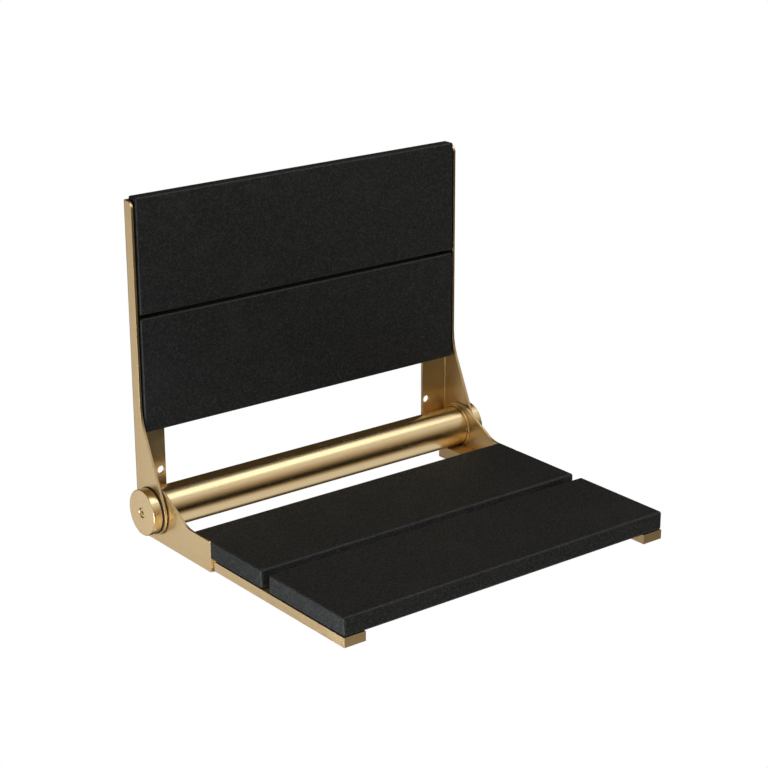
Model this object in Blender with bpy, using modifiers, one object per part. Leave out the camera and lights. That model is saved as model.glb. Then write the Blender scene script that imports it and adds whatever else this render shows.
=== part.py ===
"""Wall-mounted fold-down shower seat with a backrest.

Two L-section uprights screw to the wall and carry two back slats. A round tube between two arms turns
on pins at the foot of the uprights and carries two seat slats on rails. The origin is on the wall
plane, midway between the uprights, at the height of the hinge axis. +Z is up and the seat points
along -Y. The seat is modelled down, ready to sit on.
"""

import math

import bmesh
import bpy
from mathutils import Matrix, Vector

MM = 0.001
FIT_GAP = 0.3 * MM  # clearance between two pieces that touch

# Cross tube
TUBE_RADIUS = 25.0 * MM
TUBE_WALL = 2.0 * MM
TUBE_FROM_WALL = 8.0 * MM
COLLAR_WIDTH = 3.0 * MM
COLLAR_WALL = 2.3 * MM
PLUG_LENGTH = 25.0 * MM

# Hinge line
PIN_RADIUS = 10.0 * MM
PIN_LENGTH = 44.0 * MM
PIN_CHAMFER = 0.5 * MM
PIN_BORE_SPARE = 2.0 * MM  # how far the bore runs past the knob screw's end
WASHER_THICKNESS = 0.8 * MM
BUSH_WALL = 1.7 * MM
BUSH_LENGTH = 28.0 * MM

# All four slats
SLAT_LENGTH = 457.0 * MM  # a seat slat; the back slats end between the uprights
SLAT_WIDTH = 136.3 * MM
SLAT_SCREW_RADIUS = 2.1 * MM
SLAT_SCREW_SPACING = 76.0 * MM  # the two screws at each end of a slat

# Seat slats and the rails under them
SEAT_SLAT_THICKNESS = 22.5 * MM
SEAT_SLAT_GAP = 13.4 * MM
SEAT_SLAT_SETBACK = 81.3 * MM  # from the hinge axis forward to the rear slat
SEAT_SLAT_EDGE = 3.0 * MM
RAIL_WIDTH = 28.0 * MM
RAIL_HEIGHT = 11.2 * MM
RAIL_WALL = 3.0 * MM
RAIL_TAIL = 5.0 * MM  # how far the rail runs behind the hinge axis

# Seat arms
ARM_THICKNESS = 3.0 * MM
ARM_SHOULDER = 16.0 * MM  # level top of the arm, forward of the axis
ARM_SHOULDER_RADIUS = 22.0 * MM
ARM_SLOPE_RUN = 55.0 * MM
ARM_LAP = 36.2 * MM  # how far the arm runs alongside the rear slat
ARM_TOP_DROP = 1.2 * MM  # below the seat surface
ARM_BELOW_RAIL = 4.5 * MM
ARM_RAIL_RELIEF = 7.4 * MM  # notch between the arm and the rail's flush wall

# Back slats
BACK_SLAT_THICKNESS = 16.0 * MM
BACK_SLAT_GAP = 4.4 * MM
BACK_SLAT_BOTTOM = 89.8 * MM
BACK_SLAT_END_ROOM = 2.3 * MM  # between a back slat's end and the upright
BACK_SLAT_EDGE = 2.0 * MM

# Uprights
UPRIGHT_THICKNESS = 3.0 * MM
UPRIGHT_DEPTH = 17.5 * MM
UPRIGHT_TOP_DROP = 4.4 * MM  # below the top of the back slats
UPRIGHT_CORNER_RADIUS = 8.0 * MM
FLARE_HEIGHT = 106.0 * MM  # where the upright begins to widen, above the axis
FLARE_RADIUS = 80.0 * MM
FLANGE_WIDTH = 40.0 * MM
BEND_RADIUS = 4.0 * MM
WALL_HOLE_RADIUS = 4.75 * MM
WALL_HOLE_HEIGHT = 33.0 * MM
WALL_HOLE_INSET = 6.5 * MM  # from the flange's inner edge
KEYHOLE_RADIUS = 7.0 * MM
KEYHOLE_INSET = 13.0 * MM  # from the flange's inner edge
KEYHOLE_SLOT = 14.0 * MM

# Knobs, their screws and the washers beside them
KNOB_LENGTH = 11.5 * MM
KNOB_EDGE = 0.8 * MM
KNOB_MARGIN = 2.6 * MM  # how far the upright's eye shows round the knob
OUTER_WASHER_MARGIN = 1.8 * MM
INNER_WASHER_MARGIN = 2.4 * MM
KNOB_SCREW_RADIUS = 3.0 * MM
KNOB_SCREW_LENGTH = 23.0 * MM
KNOB_SCREW_HEAD_RADIUS = 5.2 * MM
KNOB_SCREW_HEAD_LENGTH = 5.5 * MM
KNOB_SCREW_INSET = 0.8 * MM
HEX_SOCKET_RADIUS = 3.0 * MM
HEX_SOCKET_DEPTH = 3.0 * MM

# Slat screws
SEAT_SCREW_LENGTH = 16.0 * MM
SEAT_SCREW_HEAD_RADIUS = 4.5 * MM
SEAT_SCREW_HEAD_HEIGHT = 2.6 * MM
SEAT_SCREW_CROWN = 0.7  # share of the head's radius at the flat of its crown
SEAT_SCREW_RIM = 0.3  # share of the head's height at its rim
BACK_SCREW_LENGTH = 13.0 * MM
BACK_SCREW_HEAD_RADIUS = 4.4 * MM
BACK_SCREW_HEAD_HEIGHT = 2.3 * MM
BACK_SCREW_INSET = 0.2 * MM
BACK_SCREW_FROM_END = 19.5 * MM  # from the back slat's end

# Places that follow from the sizes above
PIVOT_FROM_WALL = TUBE_FROM_WALL + TUBE_RADIUS
ARM_OUTER = SLAT_LENGTH / 2
ARM_INNER = ARM_OUTER - ARM_THICKNESS
ARM_EYE_RADIUS = PIVOT_FROM_WALL - UPRIGHT_THICKNESS - 2 * FIT_GAP
ARM_DEPTH = SEAT_SLAT_THICKNESS + FIT_GAP + RAIL_HEIGHT + ARM_BELOW_RAIL
ARM_REACH = SEAT_SLAT_SETBACK + ARM_LAP
ARM_FRONT = -PIVOT_FROM_WALL - ARM_REACH
UPRIGHT_INNER = ARM_OUTER + WASHER_THICKNESS + 2 * FIT_GAP
UPRIGHT_OUTER = UPRIGHT_INNER + UPRIGHT_THICKNESS
UPRIGHT_EYE_RADIUS = PIVOT_FROM_WALL - UPRIGHT_THICKNESS
UPRIGHT_FOOT = ARM_DEPTH
FLANGE_INNER = UPRIGHT_OUTER - FLANGE_WIDTH
WALL_HOLE_X = FLANGE_INNER + WALL_HOLE_INSET
KEYHOLE_X = FLANGE_INNER + KEYHOLE_INSET
OUTER_WASHER_RADIUS = UPRIGHT_EYE_RADIUS - OUTER_WASHER_MARGIN
INNER_WASHER_RADIUS = ARM_EYE_RADIUS - INNER_WASHER_MARGIN
KNOB_RADIUS = UPRIGHT_EYE_RADIUS - KNOB_MARGIN
KNOB_INNER = UPRIGHT_OUTER + WASHER_THICKNESS + 2 * FIT_GAP
KNOB_OUTER = KNOB_INNER + KNOB_LENGTH
PIN_OUTER = KNOB_INNER - FIT_GAP
PIN_HOLE_RADIUS = PIN_RADIUS + FIT_GAP
BUSH_RADIUS = PIN_HOLE_RADIUS + BUSH_WALL
BUSH_HOLE_RADIUS = BUSH_RADIUS + FIT_GAP
TUBE_END = ARM_INNER - FIT_GAP
RAIL_INNER = ARM_OUTER - RAIL_WIDTH
RAIL_TOP = -SEAT_SLAT_THICKNESS - FIT_GAP
RAIL_BOTTOM = RAIL_TOP - RAIL_HEIGHT
SEAT_REAR = -PIVOT_FROM_WALL - SEAT_SLAT_SETBACK
SEAT_FRONT = SEAT_REAR - 2 * SLAT_WIDTH - SEAT_SLAT_GAP
SEAT_SCREW_X = ARM_INNER - (ARM_INNER - RAIL_INNER) / 2
BACK_SLAT_LENGTH = 2 * (UPRIGHT_INNER - BACK_SLAT_END_ROOM)
BACK_SLAT_REAR = -UPRIGHT_THICKNESS - FIT_GAP
BACK_SLAT_FRONT = BACK_SLAT_REAR - BACK_SLAT_THICKNESS
BACK_SLAT_TOP = BACK_SLAT_BOTTOM + 2 * SLAT_WIDTH + BACK_SLAT_GAP
BACK_SCREW_X = BACK_SLAT_LENGTH / 2 - BACK_SCREW_FROM_END
UPRIGHT_TOP = BACK_SLAT_TOP - UPRIGHT_TOP_DROP
KEYHOLE_HEIGHT = BACK_SLAT_TOP - SLAT_WIDTH / 2

PIVOT = Vector((0, -PIVOT_FROM_WALL, 0))
SIDES = {"left": -1, "right": 1}
ROUND_STEPS = 40
SMALL_STEPS = 14
PIN_STEPS = 32
ARC_STEP = math.radians(12)

# Turns a piece drawn in its own XY plane into the side view: its X to +Y, its Y to +Z, its Z to +X.
SIDE_VIEW = Matrix(((0, 0, 1), (1, 0, 0), (0, 1, 0))).to_4x4()
# The same for a piece drawn in front view: its X to +X, its Y to +Z, its Z to -Y.
FRONT_VIEW = Matrix(((1, 0, 0), (0, 0, -1), (0, 1, 0))).to_4x4()


# Scene, materials and placing ---------------------------------------------------------------------


def clear_scene():
    for obj in list(bpy.data.objects):
        bpy.data.objects.remove(obj, do_unlink=True)


def new_collection(name, hidden=False, inside=None):
    collection = bpy.data.collections.new(name)
    collection.hide_render = hidden
    (inside or bpy.context.scene.collection).children.link(collection)
    return collection


def material(name, colour, metallic, roughness):
    """The named Principled material, made once. The colour is linear RGB."""
    found = bpy.data.materials.get(name)
    if found:
        return found
    made = bpy.data.materials.new(name)
    made.use_nodes = True
    shader = made.node_tree.nodes["Principled BSDF"]
    shader.inputs["Base Color"].default_value = (*colour, 1)
    shader.inputs["Metallic"].default_value = metallic
    shader.inputs["Roughness"].default_value = roughness
    return made


def brushed_gold(piece, roughness=0.28):
    return material(f"{piece} brushed gold", (0.60, 0.44, 0.22), 1.0, roughness)


def black_slat(piece):
    return material(f"{piece} black composite", (0.022, 0.022, 0.024), 0.0, 0.55)


def black_nylon(piece):
    return material(f"{piece} black nylon", (0.01, 0.01, 0.01), 0.0, 0.45)


def stainless(piece):
    return material(f"{piece} stainless steel", (0.50, 0.49, 0.47), 1.0, 0.3)


def add_parent(name, location):
    empty = bpy.data.objects.new(name, None)
    empty.empty_display_size = 0.03
    empty.location = location
    parts.objects.link(empty)
    return empty


def finish(obj, parent, look):
    """Gives the piece its material and its parent, and keeps it where it stands."""
    obj.data.materials.clear()
    obj.data.materials.append(look)
    obj.data.shade_smooth()
    obj.data.set_sharp_from_angle(angle=math.radians(30))
    obj.parent = parent
    obj.matrix_parent_inverse = Matrix.Translation(parent.location).inverted()
    return obj


# Shapes -------------------------------------------------------------------------------------------


def mesh_object(name, mesh, matrix, collection):
    obj = bpy.data.objects.new(name, mesh)
    obj.matrix_world = matrix
    collection.objects.link(obj)
    return obj


def add_box(name, low, high, collection=None):
    """An upright box between two corners, given in any order."""
    corners = [sorted(pair) for pair in zip(low, high)]
    size = Vector([b - a for a, b in corners])
    centre = Vector([(a + b) / 2 for a, b in corners])
    mesh = bpy.data.meshes.new(name)
    bm = bmesh.new()
    bmesh.ops.create_cube(bm, size=1)
    bmesh.ops.scale(bm, vec=size, verts=bm.verts)
    bm.to_mesh(mesh)
    bm.free()
    return mesh_object(name, mesh, Matrix.Translation(centre), collection or parts)


def along_x(side):
    """Turns +Z outwards, to the left or the right."""
    return Matrix.Rotation(side * math.pi / 2, 4, "Y")


def add_rod(name, radius, length, matrix, steps=SMALL_STEPS, tip_radius=None, collection=None):
    """A cylinder or cone from its base at the matrix's origin along the matrix's +Z."""
    mesh = bpy.data.meshes.new(name)
    bm = bmesh.new()
    tip = radius if tip_radius is None else tip_radius
    bmesh.ops.create_cone(bm, cap_ends=True, segments=steps, radius1=radius, radius2=tip, depth=length)
    bmesh.ops.translate(bm, vec=(0, 0, length / 2), verts=bm.verts)
    bm.to_mesh(mesh)
    bm.free()
    return mesh_object(name, mesh, matrix, collection or parts)


def add_turned(name, profile, matrix, steps=ROUND_STEPS, ring=False):
    """Turns (radius, height) points about the matrix's Z. A ring's profile is closed."""
    mesh = bpy.data.meshes.new(name)
    bm = bmesh.new()
    points = [bm.verts.new((radius, 0, height)) for radius, height in profile]
    for start, end in zip(points, points[1:] + points[:1] if ring else points[1:]):
        bm.edges.new((start, end))
    bm.to_mesh(mesh)
    bm.free()
    obj = mesh_object(name, mesh, matrix, parts)
    screw = obj.modifiers.new("Turn", "SCREW")
    screw.steps = steps
    screw.render_steps = steps
    screw.use_merge_vertices = True
    screw.merge_threshold = 0.00001
    return obj


def tube_profile(inner, outer, top, bottom):
    return [(inner, top), (outer, top), (outer, bottom), (inner, bottom)]


def arc(centre, radius, start, end):
    """Points along an arc from one angle to another, both ends included."""
    count = max(2, math.ceil(abs(end - start) / ARC_STEP))
    angles = [start + (end - start) * i / count for i in range(count + 1)]
    return [(centre[0] + radius * math.cos(a), centre[1] + radius * math.sin(a)) for a in angles]


def corner(before, point, after, radius):
    """The corner at point, rounded to this radius by an arc that touches both its sides."""
    point = Vector(point)
    to_before = (Vector(before) - point).normalized()
    to_after = (Vector(after) - point).normalized()
    half = to_before.angle(to_after) / 2
    centre = point + (to_before + to_after).normalized() * radius / math.sin(half)
    start = point + to_before * radius / math.tan(half) - centre
    end = point + to_after * radius / math.tan(half) - centre
    first = math.atan2(start.y, start.x)
    turn = math.remainder(math.atan2(end.y, end.x) - first, math.tau)
    return arc(centre, radius, first, first + turn)


def tangent_angle(centre, radius, point, turn):
    """The angle at which a line from point touches the circle, on the side that turn (+1 or -1) gives."""
    offset = Vector(point) - Vector(centre)
    return math.atan2(offset.y, offset.x) + turn * math.acos(radius / offset.length)


def add_plate(name, outlines, thickness, matrix, collection=None):
    """A flat plate: the first outline is its edge and the others are holes in it.

    The plate's middle plane is the matrix's XY plane.
    """
    curve = bpy.data.curves.new(name, "CURVE")
    curve.dimensions = "2D"
    curve.fill_mode = "BOTH"
    curve.extrude = thickness / 2
    for outline in outlines:
        spline = curve.splines.new("POLY")
        spline.points.add(len(outline) - 1)
        for point, (x, y) in zip(spline.points, outline):
            point.co = (x, y, 0, 1)
        spline.use_cyclic_u = True
    flat = mesh_object(name, curve, matrix, parts)
    bpy.context.view_layer.update()
    graph = bpy.context.evaluated_depsgraph_get()
    mesh = bpy.data.meshes.new_from_object(flat.evaluated_get(graph))
    bm = bmesh.new()
    bm.from_mesh(mesh)
    bmesh.ops.remove_doubles(bm, verts=bm.verts, dist=0.000001)
    bmesh.ops.recalc_face_normals(bm, faces=bm.faces)
    bm.to_mesh(mesh)
    bm.free()
    bpy.data.objects.remove(flat, do_unlink=True)
    bpy.data.curves.remove(curve)
    mesh.name = name
    return mesh_object(name, mesh, matrix, collection or parts)


def circle(centre, radius, steps=SMALL_STEPS):
    angles = [math.tau * i / steps for i in range(steps)]
    return [(centre[0] + radius * math.cos(a), centre[1] + radius * math.sin(a)) for a in angles]


def combine(obj, tool, operation):
    """Cuts the tool from the object, or intersects the two. The tool is then only a guide."""
    tool.hide_render = True
    tool.display_type = "WIRE"
    boolean = obj.modifiers.new(f"{operation.title()} {tool.name}", "BOOLEAN")
    boolean.operation = operation
    boolean.solver = "EXACT"
    boolean.object = tool


def cut(obj, tool):
    combine(obj, tool, "DIFFERENCE")


def cut_all(obj, tools):
    """Cuts every tool of a collection in one go, which keeps the faces between them clean."""
    for tool in tools.objects:
        tool.hide_render = True
        tool.display_type = "WIRE"
    boolean = obj.modifiers.new(f"Cut {tools.name}", "BOOLEAN")
    boolean.operation = "DIFFERENCE"
    boolean.solver = "EXACT"
    boolean.operand_type = "COLLECTION"
    boolean.collection = tools


def round_edges(obj, width, segments=3):
    bevel = obj.modifiers.new("Rounded edges", "BEVEL")
    bevel.width = width
    bevel.segments = segments
    bevel.limit_method = "ANGLE"
    bevel.harden_normals = False


# Wall side ----------------------------------------------------------------------------------------


def upright_side_outline():
    """Side view of an upright, from the wall (Y = 0) forward."""
    front = -UPRIGHT_DEPTH
    eye = (-PIVOT_FROM_WALL, 0)
    top_rear = (0, UPRIGHT_TOP)
    top_front = (front, UPRIGHT_TOP)
    flare = (front, FLARE_HEIGHT)
    foot = (0, -UPRIGHT_FOOT)
    flare_touch = tangent_angle(eye, UPRIGHT_EYE_RADIUS, flare, 1)
    foot_touch = tangent_angle(eye, UPRIGHT_EYE_RADIUS, foot, -1) + math.tau
    eye_arc = arc(eye, UPRIGHT_EYE_RADIUS, flare_touch, foot_touch)
    outline = [top_rear]
    outline += corner(top_rear, top_front, flare, UPRIGHT_CORNER_RADIUS)
    outline += corner(top_front, flare, eye_arc[0], FLARE_RADIUS)
    outline += eye_arc
    outline += [foot]
    return outline


def upright_section(side):
    """Plan of the bent plate: a leg forward at the outside and a flange against the wall."""
    forward = -PIVOT_FROM_WALL - UPRIGHT_EYE_RADIUS - FLANGE_WIDTH
    outer, inner = side * UPRIGHT_OUTER, side * UPRIGHT_INNER
    flange = side * FLANGE_INNER
    wall, face = 0, -UPRIGHT_THICKNESS
    section = [(flange, wall)]
    section += corner((flange, wall), (outer, wall), (outer, forward), BEND_RADIUS)
    section += [(outer, forward), (inner, forward)]
    section += corner((inner, forward), (inner, face), (flange, face), BEND_RADIUS - UPRIGHT_THICKNESS)
    section += [(flange, face)]
    return section


def keyhole_outline(x):
    """A round entry with a narrow slot above it, to hang the frame on screws already in the wall."""
    neck = math.asin(WALL_HOLE_RADIUS / KEYHOLE_RADIUS)
    up = math.pi / 2
    entry = arc((x, KEYHOLE_HEIGHT), KEYHOLE_RADIUS, up + neck, up - neck + math.tau)
    return entry + arc((x, KEYHOLE_HEIGHT + KEYHOLE_SLOT), WALL_HOLE_RADIUS, 0, math.pi)


def back_slat_middles():
    lower = BACK_SLAT_BOTTOM + SLAT_WIDTH / 2
    return {"lower": lower, "upper": lower + SLAT_WIDTH + BACK_SLAT_GAP}


def back_screw_heights():
    return [z + way * SLAT_SCREW_SPACING / 2 for z in back_slat_middles().values() for way in (-1, 1)]


def towards_wall(x, y, z):
    """Places a piece whose +Z points back at the wall."""
    return Matrix.Translation((x, y, z)) @ Matrix.Rotation(-math.pi / 2, 4, "X")


def add_upright(name, side):
    height = UPRIGHT_TOP + UPRIGHT_FOOT + 2 * BEND_RADIUS
    middle = (UPRIGHT_TOP - UPRIGHT_FOOT) / 2
    blank = add_plate(name, [upright_section(side)], height, Matrix.Translation((0, 0, middle)))
    width = 2 * (UPRIGHT_OUTER + FLANGE_WIDTH)
    outline = add_plate(f"{name} side outline", [upright_side_outline()], width, SIDE_VIEW, cutters)
    combine(blank, outline, "INTERSECT")
    holes = new_collection(f"{name} holes", hidden=True, inside=cutters)
    inside = PIVOT + Vector((side * (UPRIGHT_INNER - UPRIGHT_THICKNESS), 0, 0))
    start = Matrix.Translation(inside) @ along_x(side)
    through = 3 * UPRIGHT_THICKNESS
    add_rod(f"{name} pin hole", PIN_HOLE_RADIUS, through, start, PIN_STEPS, collection=holes)
    wall_hole = circle((side * WALL_HOLE_X, WALL_HOLE_HEIGHT), WALL_HOLE_RADIUS)
    for number, outline in enumerate([wall_hole, keyhole_outline(side * KEYHOLE_X)], 1):
        add_plate(f"{name} wall hole {number}", [outline], 2 * through, FRONT_VIEW, holes)
    for number, z in enumerate(back_screw_heights(), 1):
        add_countersink(f"{name} countersink {number}", side * BACK_SCREW_X, z, holes)
    cut_all(blank, holes)
    return finish(blank, wall_frame, brushed_gold("upright"))


def add_countersink(name, x, z, collection):
    """A cutter for a clearance hole through the flange, sunk for a flat screw head at the wall."""
    bore = SLAT_SCREW_RADIUS + FIT_GAP
    rise = BACK_SCREW_HEAD_HEIGHT + BACK_SCREW_INSET
    slope = (BACK_SCREW_HEAD_RADIUS - SLAT_SCREW_RADIUS) / BACK_SCREW_HEAD_HEIGHT
    # The cone runs on past the wall plane, so that the cut is clean.
    mouth = bore + 2 * rise * slope
    end = -2 * UPRIGHT_THICKNESS
    profile = [(0, rise), (mouth, rise), (bore, -rise), (bore, end), (0, end)]
    cutter = add_turned(name, profile, towards_wall(x, 0, z), SMALL_STEPS)
    parts.objects.unlink(cutter)
    collection.objects.link(cutter)


def add_back_slat(name, middle):
    half = (BACK_SLAT_LENGTH / 2, SLAT_WIDTH / 2)
    low = (-half[0], BACK_SLAT_FRONT, middle - half[1])
    high = (half[0], BACK_SLAT_REAR, middle + half[1])
    slat = add_box(name, low, high)
    round_edges(slat, BACK_SLAT_EDGE)
    depth = BACK_SCREW_LENGTH - UPRIGHT_THICKNESS + 2 * FIT_GAP
    for side_name, side in SIDES.items():
        for number, way in enumerate((-1, 1), 1):
            z = middle + way * SLAT_SCREW_SPACING / 2
            place = towards_wall(side * BACK_SCREW_X, BACK_SLAT_REAR - depth, z)
            tool = f"{name} {side_name} screw hole {number}"
            radius = SLAT_SCREW_RADIUS + FIT_GAP
            cut(slat, add_rod(tool, radius, 2 * depth, place, collection=cutters))
    return finish(slat, wall_frame, black_slat("back slat"))


def add_back_screws():
    root = -BACK_SCREW_HEAD_HEIGHT
    profile = [
        (0, 0),
        (BACK_SCREW_HEAD_RADIUS, 0),
        (SLAT_SCREW_RADIUS, root),
        (SLAT_SCREW_RADIUS, SLAT_SCREW_RADIUS / 2 - BACK_SCREW_LENGTH),
        (0, -BACK_SCREW_LENGTH),
    ]
    for side_name, side in SIDES.items():
        for number, z in enumerate(back_screw_heights(), 1):
            place = towards_wall(side * BACK_SCREW_X, -BACK_SCREW_INSET, z)
            screw = add_turned(f"back_slat_screw_{side_name}_{number}", profile, place, SMALL_STEPS)
            finish(screw, wall_frame, stainless("back slat screw"))


def add_knob(name, side):
    edge = KNOB_EDGE
    sink = KNOB_SCREW_INSET + KNOB_SCREW_HEAD_LENGTH + FIT_GAP
    seat_radius = KNOB_SCREW_HEAD_RADIUS + 2 * FIT_GAP
    profile = [
        (seat_radius, 0),
        (KNOB_RADIUS - edge, 0),
        (KNOB_RADIUS, -edge),
        (KNOB_RADIUS, edge - KNOB_LENGTH),
        (KNOB_RADIUS - edge, -KNOB_LENGTH),
        (KNOB_SCREW_RADIUS + FIT_GAP, -KNOB_LENGTH),
        (KNOB_SCREW_RADIUS + FIT_GAP, -sink),
        (seat_radius, -sink),
    ]
    place = Matrix.Translation(PIVOT + Vector((side * KNOB_OUTER, 0, 0))) @ along_x(side)
    return finish(add_turned(name, profile, place, ring=True), wall_frame, brushed_gold("end knob", 0.22))


def add_knob_screw(name, side):
    head = KNOB_SCREW_HEAD_LENGTH
    profile = [
        (0, 0),
        (KNOB_SCREW_HEAD_RADIUS, 0),
        (KNOB_SCREW_HEAD_RADIUS, -head),
        (KNOB_SCREW_RADIUS, -head),
        (KNOB_SCREW_RADIUS, -KNOB_SCREW_LENGTH),
        (0, -KNOB_SCREW_LENGTH),
    ]
    outer = KNOB_OUTER - KNOB_SCREW_INSET
    place = Matrix.Translation(PIVOT + Vector((side * outer, 0, 0))) @ along_x(side)
    screw = add_turned(name, profile, place, SMALL_STEPS)
    bottom = place @ Matrix.Translation((0, 0, -HEX_SOCKET_DEPTH))
    socket = add_rod(f"{name} socket", HEX_SOCKET_RADIUS, 2 * HEX_SOCKET_DEPTH, bottom, 6, collection=cutters)
    cut(screw, socket)
    return finish(screw, wall_frame, brushed_gold("knob screw"))


def add_pivot_pin(name, side):
    bore = KNOB_SCREW_RADIUS + FIT_GAP
    reach = KNOB_SCREW_INSET + KNOB_SCREW_LENGTH - (KNOB_OUTER - PIN_OUTER)
    depth = reach + PIN_BORE_SPARE
    chamfer = PIN_CHAMFER
    profile = [
        (0, -depth),
        (bore, -depth),
        (bore, 0),
        (PIN_RADIUS - chamfer, 0),
        (PIN_RADIUS, -chamfer),
        (PIN_RADIUS, chamfer - PIN_LENGTH),
        (PIN_RADIUS - chamfer, -PIN_LENGTH),
        (0, -PIN_LENGTH),
    ]
    place = Matrix.Translation(PIVOT + Vector((side * PIN_OUTER, 0, 0))) @ along_x(side)
    return finish(add_turned(name, profile, place, PIN_STEPS), wall_frame, stainless("pivot pin"))


def add_ring(name, side, inner, outer, outer_face, width, parent, look, steps=ROUND_STEPS):
    """A ring about the hinge axis, from its outer face inwards."""
    place = Matrix.Translation(PIVOT + Vector((side * outer_face, 0, 0))) @ along_x(side)
    ring = add_turned(name, tube_profile(inner, outer, 0, -width), place, steps, ring=True)
    return finish(ring, parent, look)


# Seat side ----------------------------------------------------------------------------------------


def arm_outline():
    """Side view of a seat arm, drawn about the hinge axis, with the seat to the left."""
    eye_top = (0, ARM_EYE_RADIUS)
    shoulder = (-ARM_SHOULDER, ARM_EYE_RADIUS)
    dip = (-ARM_SHOULDER - ARM_SLOPE_RUN, -ARM_TOP_DROP)
    front_top = (-ARM_REACH, -ARM_TOP_DROP)
    front_bottom = (-ARM_REACH, -ARM_DEPTH)
    heel = (ARM_EYE_RADIUS, -ARM_DEPTH)
    outline = arc((0, 0), ARM_EYE_RADIUS, 0, math.pi / 2)
    outline += corner(eye_top, shoulder, dip, ARM_SHOULDER_RADIUS)
    outline += corner(shoulder, dip, front_top, ARM_EYE_RADIUS)
    outline += corner(dip, front_top, front_bottom, 2 * ARM_THICKNESS)
    outline += corner(front_top, front_bottom, heel, ARM_THICKNESS / 2)
    outline += corner(front_bottom, heel, (ARM_EYE_RADIUS, 0), ARM_THICKNESS)
    return outline


def add_arm(name, side):
    middle = (ARM_INNER + ARM_OUTER) / 2
    place = Matrix.Translation(PIVOT + Vector((side * middle, 0, 0))) @ SIDE_VIEW
    hole = circle((0, 0), BUSH_HOLE_RADIUS, PIN_STEPS)
    arm = add_plate(name, [arm_outline(), hole], ARM_THICKNESS, place)
    return finish(arm, seat_hinge, brushed_gold("seat arm"))


def add_rail(name, side):
    """A channel, open below: its rear part stands inside the arm, its front part is flush with it."""
    inner, beside_arm = side * RAIL_INNER, side * (ARM_INNER - FIT_GAP)
    outer = side * ARM_OUTER
    rear = -PIVOT_FROM_WALL + RAIL_TAIL
    step = ARM_FRONT - ARM_RAIL_RELIEF
    wall = RAIL_WALL
    below = -2 * ARM_DEPTH
    rail = add_box(name, (inner, rear, -ARM_DEPTH), (outer, SEAT_FRONT, RAIL_TOP))
    shallow = add_box(
        f"{name} shallow front",
        (inner - side * wall, ARM_FRONT, below),
        (outer + side * wall, SEAT_FRONT - wall, RAIL_BOTTOM),
        cutters,
    )
    cut(rail, shallow)
    beside = add_box(
        f"{name} room for the arm",
        (beside_arm, rear + wall, below),
        (outer + side * wall, step, wall),
        cutters,
    )
    cut(rail, beside)
    front_hollow = add_box(
        f"{name} front hollow",
        (inner + side * wall, step - wall, below),
        (outer - side * wall, SEAT_FRONT + wall, RAIL_TOP - wall),
        cutters,
    )
    cut(rail, front_hollow)
    rear_hollow = add_box(
        f"{name} rear hollow",
        (inner + side * wall, rear + wall, below),
        (beside_arm - side * wall, step - 2 * wall, RAIL_TOP - wall),
        cutters,
    )
    cut(rail, rear_hollow)
    room_for_tube = (TUBE_RADIUS + FIT_GAP, RAIL_INNER - RAIL_WIDTH)
    room_for_collar = (TUBE_RADIUS + COLLAR_WALL + 2 * FIT_GAP, TUBE_END - COLLAR_WIDTH - FIT_GAP)
    for number, (radius, start_x) in enumerate((room_for_tube, room_for_collar), 1):
        start = Matrix.Translation(PIVOT + Vector((side * start_x, 0, 0))) @ along_x(side)
        length = 3 * RAIL_WIDTH
        cut(rail, add_rod(f"{name} saddle {number}", radius, length, start, ROUND_STEPS, collection=cutters))
    for number, y in enumerate(seat_screw_places(), 1):
        place = Matrix.Translation((side * SEAT_SCREW_X, y, RAIL_TOP - 2 * wall))
        radius = SLAT_SCREW_RADIUS + FIT_GAP
        cut(rail, add_rod(f"{name} screw hole {number}", radius, 3 * wall, place, collection=cutters))
    return finish(rail, seat_hinge, brushed_gold("seat rail"))


def seat_slat_middles():
    rear = SEAT_REAR - SLAT_WIDTH / 2
    return {"rear": rear, "front": rear - SLAT_WIDTH - SEAT_SLAT_GAP}


def seat_screw_places():
    return [y + way * SLAT_SCREW_SPACING / 2 for y in seat_slat_middles().values() for way in (-1, 1)]


def seat_screw_seat():
    """Height of the underside of a seat screw's head bearing on the rail's web."""
    return RAIL_TOP - RAIL_WALL - FIT_GAP


def add_seat_slat(name, middle):
    half = (SLAT_LENGTH / 2, SLAT_WIDTH / 2)
    slat = add_box(name, (-half[0], middle - half[1], -SEAT_SLAT_THICKNESS), (half[0], middle + half[1], 0))
    round_edges(slat, SEAT_SLAT_EDGE)
    depth = seat_screw_seat() + SEAT_SCREW_LENGTH + SEAT_SLAT_THICKNESS + 2 * FIT_GAP
    for side_name, side in SIDES.items():
        for number, way in enumerate((-1, 1), 1):
            y = middle + way * SLAT_SCREW_SPACING / 2
            place = Matrix.Translation((side * SEAT_SCREW_X, y, -SEAT_SLAT_THICKNESS - depth))
            tool = f"{name} {side_name} screw hole {number}"
            radius = SLAT_SCREW_RADIUS + FIT_GAP
            cut(slat, add_rod(tool, radius, 2 * depth, place, collection=cutters))
        if middle + half[1] > ARM_FRONT:
            notch = add_box(
                f"{name} {side_name} arm notch",
                (side * (ARM_INNER - FIT_GAP), ARM_FRONT - FIT_GAP, -2 * SEAT_SLAT_THICKNESS),
                (side * 2 * ARM_OUTER, 0, SEAT_SLAT_THICKNESS),
                cutters,
            )
            cut(slat, notch)
    return finish(slat, seat_hinge, black_slat("seat slat"))


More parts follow.
